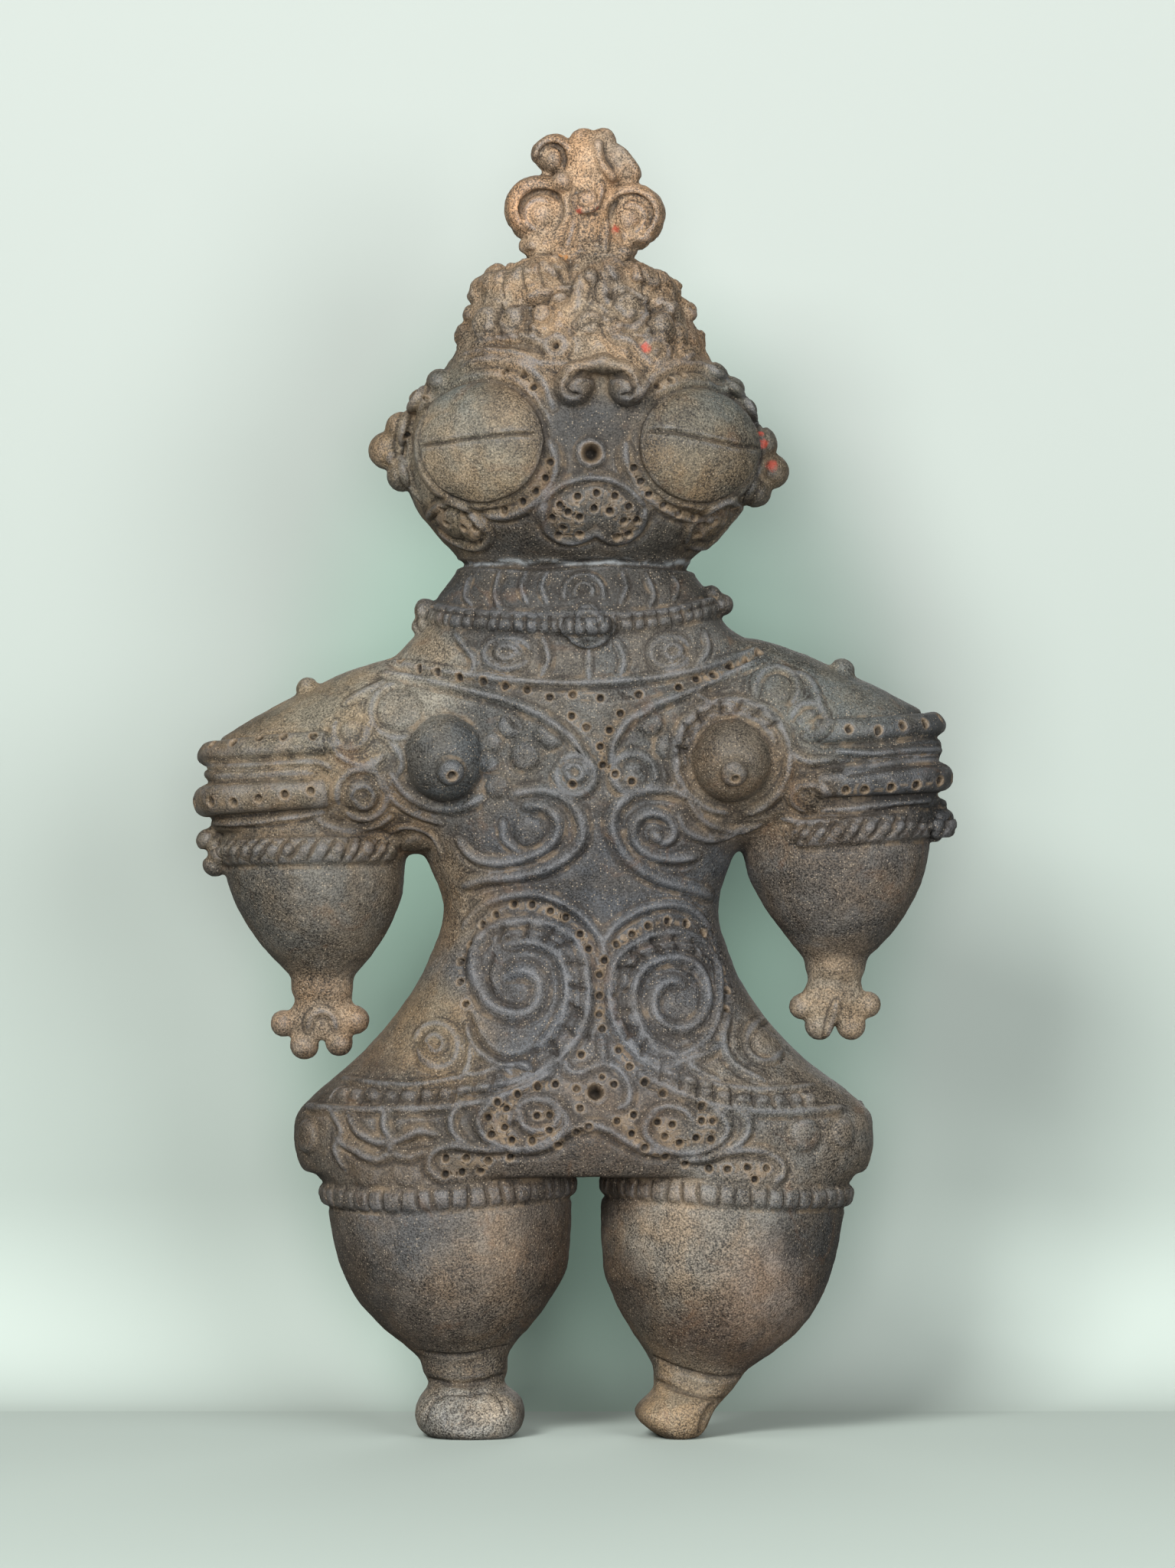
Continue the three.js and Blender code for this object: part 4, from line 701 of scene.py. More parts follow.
punched = {
    "size": (1.05, 1.9),  # radius, depth
    "necklace": [(-50, 213.6), (-47, 212.7), (-42, 211), (-37, 210), (-31, 208.5), (-24.5, 207.3),
                 (-18.5, 206), (-12.5, 205), (-6.3, 203), (0, 203.7), (7.5, 202.7), (18, 203.7), (29, 205.7),
                 (34, 208), (38.5, 209), (43, 211.5), (47.5, 213.3), (51, 215.3), (-0.3, 197.8), (3.8, 194.8),
                 (10, 194), (13, 198.5), (7.5, 189.5), (8.2, 184.5), (0, 179.3), (11.5, 182), (16, 180)],
    "belly left": [(-16.3, 146.5), (-11.3, 146.3), (-6.2, 144.7), (-2, 143), (-21.3, 143.7), (-25, 141),
                   (-28.3, 135.5), (-31, 131), (-31, 125.5), (-29.2, 119.5), (2, 138.5), (4.3, 134.5)],
    "belly right": [(12, 135.8), (16.3, 138.5), (20.7, 140.7), (26, 142), (31.3, 141.3), (36, 138.5),
                    (38.7, 134), (41.3, 128.5), (42.5, 123), (41.8, 118.2)],
    "belly middle": [(7.3, 127.6), (7.3, 122), (7.2, 117), (8, 113), (2.3, 106), (12.5, 107.3),
                     (15.5, 102.8), (8.6, 131.4)],
    "hips": [(-23, 89), (-18, 91.5), (-18.5, 86.3), (-9.7, 89.5), (-6.3, 89.7), (-6.3, 85.5), (-22, 84.3),
             (-16.5, 82.8), (-11, 82.7), (23, 87.7), (27, 87), (25, 83.8), (29, 82), (33.5, 83.3),
             (37.5, 83), (35, 88), (38, 88), (35, 92), (-15, 95.2), (-9.5, 97.3), (-4.7, 98), (1, 96.8),
             (11.2, 98), (24.5, 95.5), (19.5, 98.5), (2, 91.5), (4.3, 86.5), (1, 85), (-4, 81.5),
             (-17, 78), (12, 88), (16.5, 89.7), (16, 84.5), (19.5, 80.8), (25, 78.3), (30.5, 76.2),
             (-34.5, 77.7), (-29, 77.7), (-23, 77), (-34.5, 73.5), (-30, 74), (-25, 74.2), (37, 74.8),
             (42, 74.8), (47.5, 75.3), (52.7, 75), (49.5, 72), (-20.4, 93)],
    "eyes": [(-18.5, 291.7), (-13.5, 290.5), (-10.8, 287.2), (-40, 285), (-43.5, 280.7), (-45.5, 275),
             (-6, 266.5), (-7.4, 262.2), (-10, 258.6), (-13.6, 255.8), (-18.6, 253.5), (16.4, 265),
             (18.3, 261.4), (20.6, 258), (24.5, 255), (28.6, 253.1), (32.7, 252.4), (23.2, 287.6),
             (26.8, 289.2), (30, 290.8), (50.3, 275)],
    "chin": [(1.3, 257.3), (6.5, 258.3), (11.5, 257.5), (-3.5, 255), (-1.3, 253.3), (5.8, 254.2),
             (10, 253.5), (15.2, 254.7), (-5.5, 251.5), (1.8, 252), (13.8, 251), (17.3, 251), (-2.7, 249),
             (1.8, 247.5), (-3.8, 247), (12, 246.8), (15, 247.5)],
    "cheeks": [(-37.3, 253.5), (-35, 254.8), (-33.5, 251.3), (-29.8, 253.5), (-29, 249.8), (-26, 249.5),
               (-35, 248.8), (-25.8, 245.5), (34, 247.3), (38, 251.3), (41.5, 252.5), (44.2, 254.8)],
    "left arm": [(-70, 191.5), (-78, 191), (-84.5, 190.5), (-91.5, 189), (-97, 188.5), (-100.6, 187.7),
                 (-71, 178), (-78, 177), (-85, 176), (-91.5, 175), (-97, 175.2), (-100.8, 174.6)],
    "right arm": [(74.5, 193.5), (82.5, 193), (89, 194), (95, 194.5), (98.6, 195.8), (74, 178.5),
                  (79, 178.5), (86, 179), (92.5, 179.5), (98, 180.5), (101, 181)],
}
bored = {
    # x, z, radius, depth
    "mouth": (5, 269, 2.3, 6.5), "navel": (6.2, 95.8, 2.1, 6.5), "crown slit": (-4.6, 298.6, 0.9, 2.2),
    "chest pit": (8, 100, 0.8, 1.6), "left nipple": (-33, 182.2, 1.1, 1.8), "right nipple": (44, 181.4, 1.0, 1.2),
}
pellets = {
    # x, z, radius, height
    "chest": [(-17, 195, 3.6, 1.3), (-6, 193, 4.2, 1.5), (-13, 187, 4.2, 1.5), (-22, 190.6, 3, 1.1),
              (-23, 185, 3, 1.1), (-20.6, 178.6, 3.4, 1.1), (21, 196, 3.8, 1.3), (26, 189.4, 3.8, 1.4),
              (24, 181, 2.6, 0.9), (-33, 182.4, 3.8, 2.2), (43.8, 182, 3.8, 2.0), (-12, 166.4, 4.4, 1.4),
              (22, 166, 3, 0.8), (0.6, 181.6, 4.4, 1.2), (16.2, 182, 5, 1.2)],
    "collar": [(-18, 214.6, 5, 1.0), (26.6, 215, 4.4, 1.0)],
    "shoulders": [(-57.2, 176.2, 5.4, 1.2), (-47.4, 200, 6.4, 1.1), (-60, 193.4, 4, 0.9), (56, 205.6, 4.8, 1.1),
                  (64.6, 196.4, 4, 0.9), (64.6, 175.4, 5, 0.9), (-43.4, 163, 4.6, 1.2)],
    "belly": [(-1.2, 114.4, 2.6, 1.0), (-25.4, 137.4, 2.4, 0.7), (-25.6, 131.6, 2.6, 0.6), (-2.4, 134.4, 2.2, 0.8),
              (-37, 108, 5.8, 1.4), (53, 109, 5.6, 1.2), (19.6, 134.6, 2.8, 0.6), (25.4, 135.4, 2.6, 0.6)],
    "hips": [(-54.6, 95.3, 2.4, 0.9), (-16.8, 89, 2.3, 0.9), (-73, 83, 5, 1.3), (63.4, 84, 4.8, 1.4),
             (74, 84, 4.4, 1.3), (-44, 86.6, 4.6, 0.6), (-57, 87, 4.4, 0.6), (-56, 74, 5, 0.6),
             (-45, 74, 4.4, 0.6)],
    "crown": [(-23.6, 305.4, 4.8, 2.8), (-15.6, 305.8, 5, 3.0), (-3.8, 311.4, 2.6, 2.4), (-8.4, 307.2, 2.8, 2.6),
              (15, 309, 4.8, 2.6), (24.8, 304, 4.4, 2.4), (4.4, 304.8, 3.6, 1.6), (29.6, 303, 3.4, 1.6),
              (25.6, 310.4, 4, 1.8), (22.6, 297, 3.2, 1.2), (1, 298.6, 2.6, 0.9), (31, 297.4, 3, 1),
              (-12, 302, 3, 1.4), (11, 303.6, 3, 1.4), (19, 303, 3, 1.4)],
    "cheeks": [(-33.4, 251.2, 6, 1.8), (-28, 249.4, 5, 1.6), (38.6, 250, 5.6, 1.2), (0.6, 251.6, 7, 0.9),
               (12, 251.2, 7, 0.9), (6, 254.6, 6, 0.7)],
    "ears": [(-49.4, 268.6, 2.2, 0.9)],
    "topknot": [(4, 339.4, 3.6, 1.2)],
}
# on the back: the front's scheme, plainer
backRidges = [
    (0.9, 1.3, [(-50, 215), (-20, 210), (5, 208.6), (30, 210), (51, 215)]),
    (1.0, 1.3, [(-52, 209), (-30, 204.4), (-8, 198), (5, 190)]),
    (1.1, 1.4, [(-31, 134), (-22, 145), (-8, 148), (3, 140), (5, 128), (-2, 113), (-20, 103)]),
    (1.1, 1.5, coil((-14, 126), (4, 13), (60, 500), 26)),
    (1.0, 1.4, coil((-28, 180), (3, 11), (0, 440), 24)),
    (1.0, 1.2, [(-76, 91), (-40, 91.6), (5, 97)]),
    (0.9, 1.2, [(-60, 98.4), (-40, 98.6), (5, 104)]),
    (1.0, 1.3, coil((-22, 86), (9, 8), (20, 330), 20, squeeze=0.6)),
    (1.0, 1.4, coil((-16, 276), (4, 13), (40, 420), 24)),
    (0.9, 1.2, [(-36, 250), (-20, 254), (5, 256)]),
    (0.9, 1.2, [(-27, 300), (-14, 298), (5, 297)]),
]
backPellets = [(-20, 196, 3.6, 1.2), (-9, 189, 3.6, 1.2), (-14, 126, 3, 1), (-16, 276, 3.2, 1.1),
               (-20, 306, 4.6, 2), (-10, 309, 4, 1.8), (-28, 180, 2.8, 1)]


chance = np.random.default_rng(17)


class Marks:
    # polylines or points on the base, each vertex with a height and a half width in metres
    def __init__(self, name):
        self.name, self.points, self.edges, self.rise, self.half = name, [], [], [], []

    def line(self, row, rise, half, taper=2.0):
        if len(row) < 2:
            return
        first, last = len(self.points), len(row) - 1
        for i, place in enumerate(row):
            fade = min(1.0, (min(i, last - i) + 0.6) / taper) if taper else 1.0
            self.points.append(tuple(place))
            self.rise.append(rise * mm * fade)
            self.half.append(half * mm * (0.6 + 0.4 * fade))
        self.edges += [(first + i, first + i + 1) for i in range(last)]

    def spot(self, place, rise, half):
        if place is None:
            return
        self.points.append(tuple(place))
        self.rise.append(rise * mm)
        self.half.append(half * mm)

    def thing(self):
        mesh = bpy.data.meshes.new(self.name)
        mesh.from_pydata(self.points, self.edges, [])
        for name, values in (("rise", self.rise), ("half", self.half)):
            mesh.attributes.new(name, "FLOAT", "POINT").data.foreach_set("value", values)
        made = bpy.data.objects.new(self.name, mesh)
        scene.collection.objects.link(made)
        made.hide_render = True
        return made


def notches(cuts, row, spacing, reach, rise=0.8, half=0.62, slant=0, bead=None):
    # short cuts across a band, none quite like the next, with beads of clay between them where asked
    row = [Vector(p) for p in smoothPath([tuple(p) for p in row], spacing * mm / 4)]
    for i in range(2, len(row) - 2, 4):
        way = (row[i + 1] - row[i - 1]).normalized()
        place, normal, index, distance = surface.find_nearest(row[i] + way * (chance.uniform(-0.14, 0.14) * spacing * mm))
        across = normal.cross(way).normalized()
        lean = math.radians(slant + chance.uniform(-9, 9))
        across = across * math.cos(lean) + way * math.sin(lean)
        cut = [surface.find_nearest(place + across * (reach * k / 4 * mm))[0] for k in range(-4, 5)]
        cuts.line(cut, rise * chance.uniform(0.7, 1.15), half * chance.uniform(0.85, 1.2), taper=0)
        if bead:
            bead.spot(surface.find_nearest(row[i + 2])[0], 0.8 * chance.uniform(0.7, 1.2), spacing * 0.4)


def ringRow(axis, levelAt, reachX, outward, half):
    row = []
    count = 150
    for i in range(count + 1):
        angle = outward + math.radians(-half + 2 * half * i / count)
        row.append(onRound(axis, levelAt(axis + reachX * math.cos(angle)), angle))
    row = [p for p in row if p is not None]
    return [Vector(p) for p in smoothPath(row, 0.9 * mm)]


def layOut():
    ridgeMarks, cutMarks, bandMarks = Marks("ridges"), Marks("cuts"), Marks("bands")
    sunkMarks, dotMarks, pelletMarks = Marks("sunken"), Marks("dots"), Marks("pellets")
    for rows in ridges.values():
        for rise, half, points in rows:
            ridgeMarks.line(draped(points), rise, half)
    for rows in grooves.values():
        for rise, half, points in rows:
            cutMarks.line(draped(points), rise, half)
    for rise, half, rows in sunken.values():
        for points in rows:
            sunkMarks.line(draped(points), rise, half)
    for name, (rise, half, spacing, reach, points) in frontBands.items():
        row = draped(points)
        bandMarks.line(row, rise, half)
        slant, beads = slanted.get(name, (0, False))
        notches(cutMarks, row, spacing, reach, slant=slant, bead=pelletMarks if beads else None)
    for axis, (fromX, fromZ, toX, toZ), half, rise, open_, spacing in limbBands:
        outward = math.pi if axis < 0 else 0.0
        row = ringRow(axis, lambda x: fromZ + (toZ - fromZ) * (x - fromX) / (toX - fromX),
                      abs(toX - fromX) / 2, outward, 180 - open_)
        bandMarks.line(row, rise, half, taper=3.0)
        if spacing:
            notches(cutMarks, row, spacing, half * 0.78, slant=34, bead=pelletMarks)
    for axis, points, half, rise, spacing in legBands:
        xs, zs = [p[0] for p in points], [p[1] for p in points]
        row = ringRow(axis, lambda x: float(np.interp(x, xs, zs)), abs(xs[-1] - xs[0]) / 2, 0.0, 180)
        bandMarks.line(row, rise, half, taper=0)
        notches(cutMarks, row, spacing, half * 0.8, 1.0)
    neck = ringRow(0.5, lambda x: 239.2 + 0.6 * math.sin(x / 7), 30, 0.0, 180)
    cutMarks.line(neck, 1.3, 0.9, taper=0)
    radius, depth = punched["size"]
    for name, places in punched.items():
        if name != "size":
            for x, z in places:
                dotMarks.spot(onFace(x, z), depth, radius)
    for x, z, r, deep in bored.values():
        dotMarks.spot(onFace(x, z), deep, r)
    for rows in pellets.values():
        for x, z, r, high in rows:
            pelletMarks.spot(onFace(x, z), high, r)
    for rise, half, points in backRidges:
        ridgeMarks.line(draped(points, True), rise, half)
        ridgeMarks.line(draped(mirrored(points), True), rise, half)
    for x, z, r, high in backPellets:
        pelletMarks.spot(onFace(x, z, True), high, r)
        pelletMarks.spot(onFace(10 - x, z, True), high, r)
    return [m.thing() for m in (ridgeMarks, cutMarks, bandMarks, sunkMarks, dotMarks, pelletMarks)]


# node helpers

def node(tree, kind, **fields):
    made = tree.nodes.new(kind)
    for key, value in fields.items():
        setattr(made, key, value)
    return made


def plug(tree, value, socket):
    if isinstance(value, bpy.types.NodeSocket):
        tree.links.new(value, socket)
    else:
        socket.default_value = value


def maths(tree, operation, first, second=None, third=None, clamp=False):
    made = node(tree, "ShaderNodeMath", operation=operation, use_clamp=clamp)
    for i, value in enumerate((first, second, third)):
        if value is not None:
            plug(tree, value, made.inputs[i])
    return made.outputs[0]


def smoothRange(tree, value, low, high, fromValue=0.0, toValue=1.0):
    made = node(tree, "ShaderNodeMapRange", interpolation_type="SMOOTHSTEP")
    for name, given in (("Value", value), ("From Min", low), ("From Max", high), ("To Min", fromValue),
                        ("To Max", toValue)):
        plug(tree, given, made.inputs[name])
    return made.outputs["Result"]


def bell(tree, value, centre, sharpness):
    off = maths(tree, "SUBTRACT", value, centre)
    return maths(tree, "EXPONENT", maths(tree, "MULTIPLY", maths(tree, "MULTIPLY", off, off), -sharpness))


# the carving: every mark presses or raises the clay near it

profiles = {
    "moat": 0.5,       # how deep the clay is pressed beside a raised line
    "bandMoat": 0.34,
    "lineWidth": 0.84,  # all raised lines together
    "lineHeight": 0.96,
    "rim": 0.10,        # the burr round a punched dot
    "evenness": 0.8,    # a thumb's unevenness along the lines
    "lumps": 0.7,      # mm, the rough crown and topknot
}


def carveTree():
    tree = bpy.data.node_groups.new("carveClay", "GeometryNodeTree")
    face = tree.interface
    face.new_socket("Clay", in_out="INPUT", socket_type="NodeSocketGeometry")
    for name in ("Ridges", "Cuts", "Bands", "Sunken", "Dots", "Pellets"):
        face.new_socket(name, in_out="INPUT", socket_type="NodeSocketObject")
    for name, value in (("Moat", profiles["moat"]), ("Band moat", profiles["bandMoat"]), ("Rim", profiles["rim"]),
                        ("Line width", profiles["lineWidth"]), ("Line height", profiles["lineHeight"]),
                        ("Lumps", profiles["lumps"] * mm)):
        made = face.new_socket(name, in_out="INPUT", socket_type="NodeSocketFloat")
        made.default_value = value
    face.new_socket("Finish", in_out="INPUT", socket_type="NodeSocketMaterial")
    face.new_socket("Clay", in_out="OUTPUT", socket_type="NodeSocketGeometry")
    given = node(tree, "NodeGroupInput")
    spot = node(tree, "GeometryNodeInputPosition")
    kept = {}  # how far each place is from the nearest mark, in half widths, for the finish

    def marks(name, element):
        info = node(tree, "GeometryNodeObjectInfo", transform_space="RELATIVE")
        tree.links.new(given.outputs[name], info.inputs["Object"])
        shape = info.outputs["Geometry"]
        near = node(tree, "GeometryNodeProximity", target_element=element)
        tree.links.new(shape, near.inputs[0])
        nearest = node(tree, "GeometryNodeSampleNearest", domain="POINT")
        tree.links.new(shape, nearest.inputs["Geometry"])
        tree.links.new(near.outputs["Position"], nearest.inputs["Sample Position"])
        read = []
        for attribute in ("rise", "half"):
            named = node(tree, "GeometryNodeInputNamedAttribute", data_type="FLOAT")
            named.inputs["Name"].default_value = attribute
            sample = node(tree, "GeometryNodeSampleIndex", data_type="FLOAT", domain="POINT")
            tree.links.new(shape, sample.inputs["Geometry"])
            tree.links.new(named.outputs["Attribute"], sample.inputs["Value"])
            tree.links.new(nearest.outputs["Index"], sample.inputs["Index"])
            read.append(sample.outputs["Value"])
        share = maths(tree, "DIVIDE", near.outputs["Distance"], read[1])
        off = node(tree, "ShaderNodeVectorMath", operation="SUBTRACT")
        tree.links.new(spot.outputs["Position"], off.inputs[0])
        tree.links.new(near.outputs["Position"], off.inputs[1])
        scaled = node(tree, "ShaderNodeVectorMath", operation="SCALE")
        tree.links.new(off.outputs["Vector"], scaled.inputs[0])
        tree.links.new(maths(tree, "DIVIDE", 1.0, read[1]), scaled.inputs["Scale"])
        kept[name] = (share, scaled.outputs["Vector"])
        return read[0], share

    wobble = node(tree, "ShaderNodeTexNoise")
    wobble.inputs["Scale"].default_value = 170.0
    wobble.inputs["Detail"].default_value = 1.0
    evenness = maths(tree, "ADD", maths(tree, "MULTIPLY", wobble.outputs["Fac"], 2 * (1 - profiles["evenness"])),
                     profiles["evenness"])

    rise, share = marks("Ridges", "EDGES")
    share = maths(tree, "DIVIDE", share, given.outputs["Line width"])
    side = node(tree, "ShaderNodeSeparateXYZ")
    tree.links.new(kept["Ridges"][1], side.inputs[0])
    under = smoothRange(tree, side.outputs["Z"], 1.0, -1.0, 0.6, 1.5)  # pressed harder below than above
    crest = maths(tree, "SUBTRACT", bell(tree, share, 0.0, 1.0),
                  maths(tree, "MULTIPLY", maths(tree, "MULTIPLY", bell(tree, share, 1.75, 3.4), under),
                        given.outputs["Moat"]))
    crest = maths(tree, "MULTIPLY", crest, given.outputs["Line height"])
    ridgeOut = maths(tree, "MULTIPLY", maths(tree, "MULTIPLY", crest, rise), evenness)
    rise, share = marks("Bands", "EDGES")
    flat = maths(tree, "SUBTRACT", 1.0, maths(tree, "POWER", share, 3.0), clamp=True)
    flat = maths(tree, "SUBTRACT", flat, maths(tree, "MULTIPLY", bell(tree, share, 1.15, 16.0),
                                               given.outputs["Band moat"]))
    bandOut = maths(tree, "MULTIPLY", flat, rise)
    rise, share = marks("Sunken", "EDGES")
    sunkOut = maths(tree, "MULTIPLY", smoothRange(tree, share, 0.6, 1.25, -1.0, 0.0), rise)
    rise, share = marks("Pellets", "POINTS")
    dome = maths(tree, "SQRT", maths(tree, "MAXIMUM", maths(tree, "SUBTRACT", 1.0,
                                                            maths(tree, "MULTIPLY", share, share)), 0.0))
    dome = maths(tree, "SUBTRACT", dome, maths(tree, "MULTIPLY", bell(tree, share, 1.15, 14.0), 0.25))
    pelletOut = maths(tree, "MULTIPLY", dome, rise)
    rise, share = marks("Cuts", "EDGES")
    cut = maths(tree, "SUBTRACT", maths(tree, "MULTIPLY", bell(tree, share, 1.8, 3.0), 0.14),
                bell(tree, share, 0.0, 1.1))
    cutOut = maths(tree, "MULTIPLY", maths(tree, "MULTIPLY", cut, rise), evenness)
    rise, share = marks("Dots", "POINTS")
    pit = smoothRange(tree, share, 0.45, 1.1, 1.0, 0.0)
    dotOut = maths(tree, "SUBTRACT", maths(tree, "MULTIPLY", bell(tree, share, 1.3, 9.0), given.outputs["Rim"]), pit)
    dotOut = maths(tree, "MULTIPLY", dotOut, rise)

    lump = node(tree, "ShaderNodeTexNoise")
    lump.inputs["Scale"].default_value = 185.0
    lump.inputs["Detail"].default_value = 2.0
    height = node(tree, "ShaderNodeSeparateXYZ")
    tree.links.new(spot.outputs["Position"], height.inputs[0])
    upper = maths(tree, "MULTIPLY", smoothRange(tree, height.outputs["Z"], 0.292, 0.302),
                  smoothRange(tree, height.outputs["Z"], 0.326, 0.334, 1.0, 0.2))
    upper = maths(tree, "ADD", maths(tree, "MULTIPLY", upper, 0.85), 0.15)
    lumpOut = maths(tree, "MULTIPLY", smoothRange(tree, lump.outputs["Fac"], 0.32, 0.68, -1.0, 1.0),
                    maths(tree, "MULTIPLY", upper, given.outputs["Lumps"]))

    total = maths(tree, "ADD", ridgeOut, lumpOut)
    for part in (bandOut, sunkOut, pelletOut, cutOut, dotOut):
        total = maths(tree, "ADD", total, part)
    normal = node(tree, "GeometryNodeInputNormal")
    offset = node(tree, "ShaderNodeVectorMath", operation="SCALE")
    tree.links.new(normal.outputs["Normal"], offset.inputs[0])
    tree.links.new(total, offset.inputs["Scale"])

    shape = given.outputs["Clay"]
    saved = [("relief", total, "FLOAT")]
    for layer, name in (("Dots", "Dot"), ("Cuts", "Cut"), ("Ridges", "Ridge")):
        saved += [("from" + name, kept[layer][0], "FLOAT"), ("way" + name, kept[layer][1], "FLOAT_VECTOR")]
    for name, value, kind in saved:
        store = node(tree, "GeometryNodeStoreNamedAttribute", data_type=kind, domain="POINT")
        store.inputs["Name"].default_value = name
        tree.links.new(shape, store.inputs["Geometry"])
        tree.links.new(value, next(s for s in store.inputs if s.name == "Value" and s.enabled))
        shape = store.outputs["Geometry"]
    moved = node(tree, "GeometryNodeSetPosition")
    tree.links.new(shape, moved.inputs["Geometry"])
    tree.links.new(offset.outputs["Vector"], moved.inputs["Offset"])
    real = node(tree, "GeometryNodeRealizeInstances")
    tree.links.new(moved.outputs["Geometry"], real.inputs["Geometry"])
    finish = node(tree, "GeometryNodeSetMaterial")
    tree.links.new(real.outputs["Geometry"], finish.inputs["Geometry"])
    tree.links.new(given.outputs["Finish"], finish.inputs["Material"])
    out = node(tree, "NodeGroupOutput")
    tree.links.new(finish.outputs["Geometry"], out.inputs["Clay"])
    return tree


def setInputs(modifier, values):
    for item in modifier.node_group.interface.items_tree:
        if item.item_type == "SOCKET" and item.in_out == "INPUT" and item.name in values:
            modifier[item.identifier] = values[item.name]


# fired clay

# Colours of the firing and the handling, place by place, with painted shade under the head and on the sides and low
# parts of the thighs: x, z, radius in mm, then the linear colour
placeColoursAndShade = {
    "topknot": (2, 345, 26, (0.295, 0.198, 0.120)),
    "topknot left": (-14, 338, 7, (0.33, 0.20, 0.112)),
    "topknot dark": (12, 352, 7, (0.150, 0.125, 0.095)),
    "crown": (2, 312, 26, (0.195, 0.142, 0.091)),
    "crown lobe": (11, 318, 4, (0.075, 0.070, 0.064)),
    "left eye": (-27, 272, 15, (0.128, 0.108, 0.078)),
    "left eye top": (-32, 285, 8, (0.088, 0.088, 0.074)),
    "left eye low": (-20, 264, 10, (0.140, 0.112, 0.074)),
    "right eye": (35, 272, 15, (0.096, 0.080, 0.056)),
    "right eye top": (42, 282, 8, (0.058, 0.062, 0.055)),
    "right eye low": (30, 264, 10, (0.118, 0.086, 0.050)),
    "brow": (5, 277, 13, (0.037, 0.037, 0.036)),
    "brow scroll": (8, 289, 7, (0.088, 0.070, 0.048)),
    "left rim": (-46, 282, 9, (0.150, 0.112, 0.070)),
    # chin, jaw and neck: darker with painted shade under the head
    "chin": (6, 254, 12, (0.054, 0.050, 0.043)),
    "jaw": (5, 246, 26, (0.050, 0.041, 0.030)),
    "left cheek": (-30.5, 251, 8, (0.110, 0.084, 0.052)),
    "right cheek": (39, 251, 8, (0.095, 0.074, 0.048)),
    "neck": (0, 232, 24, (0.027, 0.028, 0.028)),
    "collar": (4, 214, 22, (0.078, 0.074, 0.066)),
    "chest": (4, 196, 26, (0.060, 0.056, 0.048)),
    "chest left": (-46, 204, 14, (0.150, 0.130, 0.098)),
    "left breast": (-35, 187, 13, (0.044, 0.046, 0.045)),
    "right breast": (44, 184, 15, (0.078, 0.060, 0.041)),
    "armpit left": (-56, 168, 13, (0.078, 0.056, 0.034)),
    "armpit right": (62, 172, 12, (0.090, 0.066, 0.042)),
    "left shoulder": (-72, 198, 20, (0.130, 0.108, 0.074)),
    "right shoulder": (76, 204, 20, (0.073, 0.074, 0.065)),
    "left bands": (-88, 178, 20, (0.092, 0.072, 0.048)),
    "right bands": (90, 186, 18, (0.021, 0.022, 0.023)),
    "left arm": (-72, 146, 24, (0.082, 0.073, 0.059)),
    "right arm": (74, 150, 24, (0.078, 0.067, 0.056)),
    "left hand": (-70, 114, 14, (0.195, 0.140, 0.090)),
    "right hand": (72, 120, 14, (0.175, 0.138, 0.095)),
    "waist": (5, 150, 28, (0.041, 0.041, 0.042)),
    "left waist": (-33, 148, 11, (0.125, 0.094, 0.062)),
    "right waist": (36, 150, 11, (0.056, 0.056, 0.056)),
    "belly": (5, 120, 28, (0.060, 0.059, 0.059)),
    "belly sides": (-38, 108, 13, (0.115, 0.088, 0.056)),
    "left hip": (-56, 86, 24, (0.062, 0.050, 0.037)),
    "right hip": (60, 84, 26, (0.105, 0.094, 0.078)),
    "lap": (5, 84, 20, (0.062, 0.048, 0.036)),
    "left thigh": (-28, 44, 16, (0.112, 0.089, 0.067)),
    "left thigh top": (-46, 58, 14, (0.064, 0.060, 0.056)),
    # the outer side, inside and low part of the thigh: darker with painted shade
    "left thigh side": (-56, 44, 10, (0.046, 0.038, 0.030)),
    "left thigh inside": (-8, 48, 9, (0.062, 0.044, 0.030)),
    "left thigh low": (-36, 30, 11, (0.070, 0.054, 0.040)),
    "right thigh": (34, 52, 15, (0.170, 0.142, 0.108)),
    "right thigh middle": (50, 42, 14, (0.125, 0.096, 0.074)),
    # the outer side, low part and inside of the thigh: darker with painted shade
    "right thigh side": (68, 56, 11, (0.040, 0.038, 0.035)),
    "right thigh low": (38, 28, 11, (0.072, 0.052, 0.038)),
    "right thigh inside": (14, 42, 9, (0.066, 0.050, 0.036)),
    "ankles": (5, 20, 16, (0.085, 0.068, 0.048)),
    "left ankle": (-30, 20, 9, (0.088, 0.072, 0.052)),
    "right ankle": (33, 16, 9, (0.120, 0.092, 0.060)),
    "left foot": (-29, 7, 9, (0.250, 0.225, 0.185)),
    "right foot": (27, 6, 10, (0.190, 0.145, 0.092)),
}


def neighbourMean(values, ends, count, degree):
    total = np.zeros_like(values)
    for axis in range(values.shape[1]):
        total[:, axis] = (np.bincount(ends[:, 0], values[ends[:, 1], axis], count)
                          + np.bincount(ends[:, 1], values[ends[:, 0], axis], count))
    return total / degree[:, None]


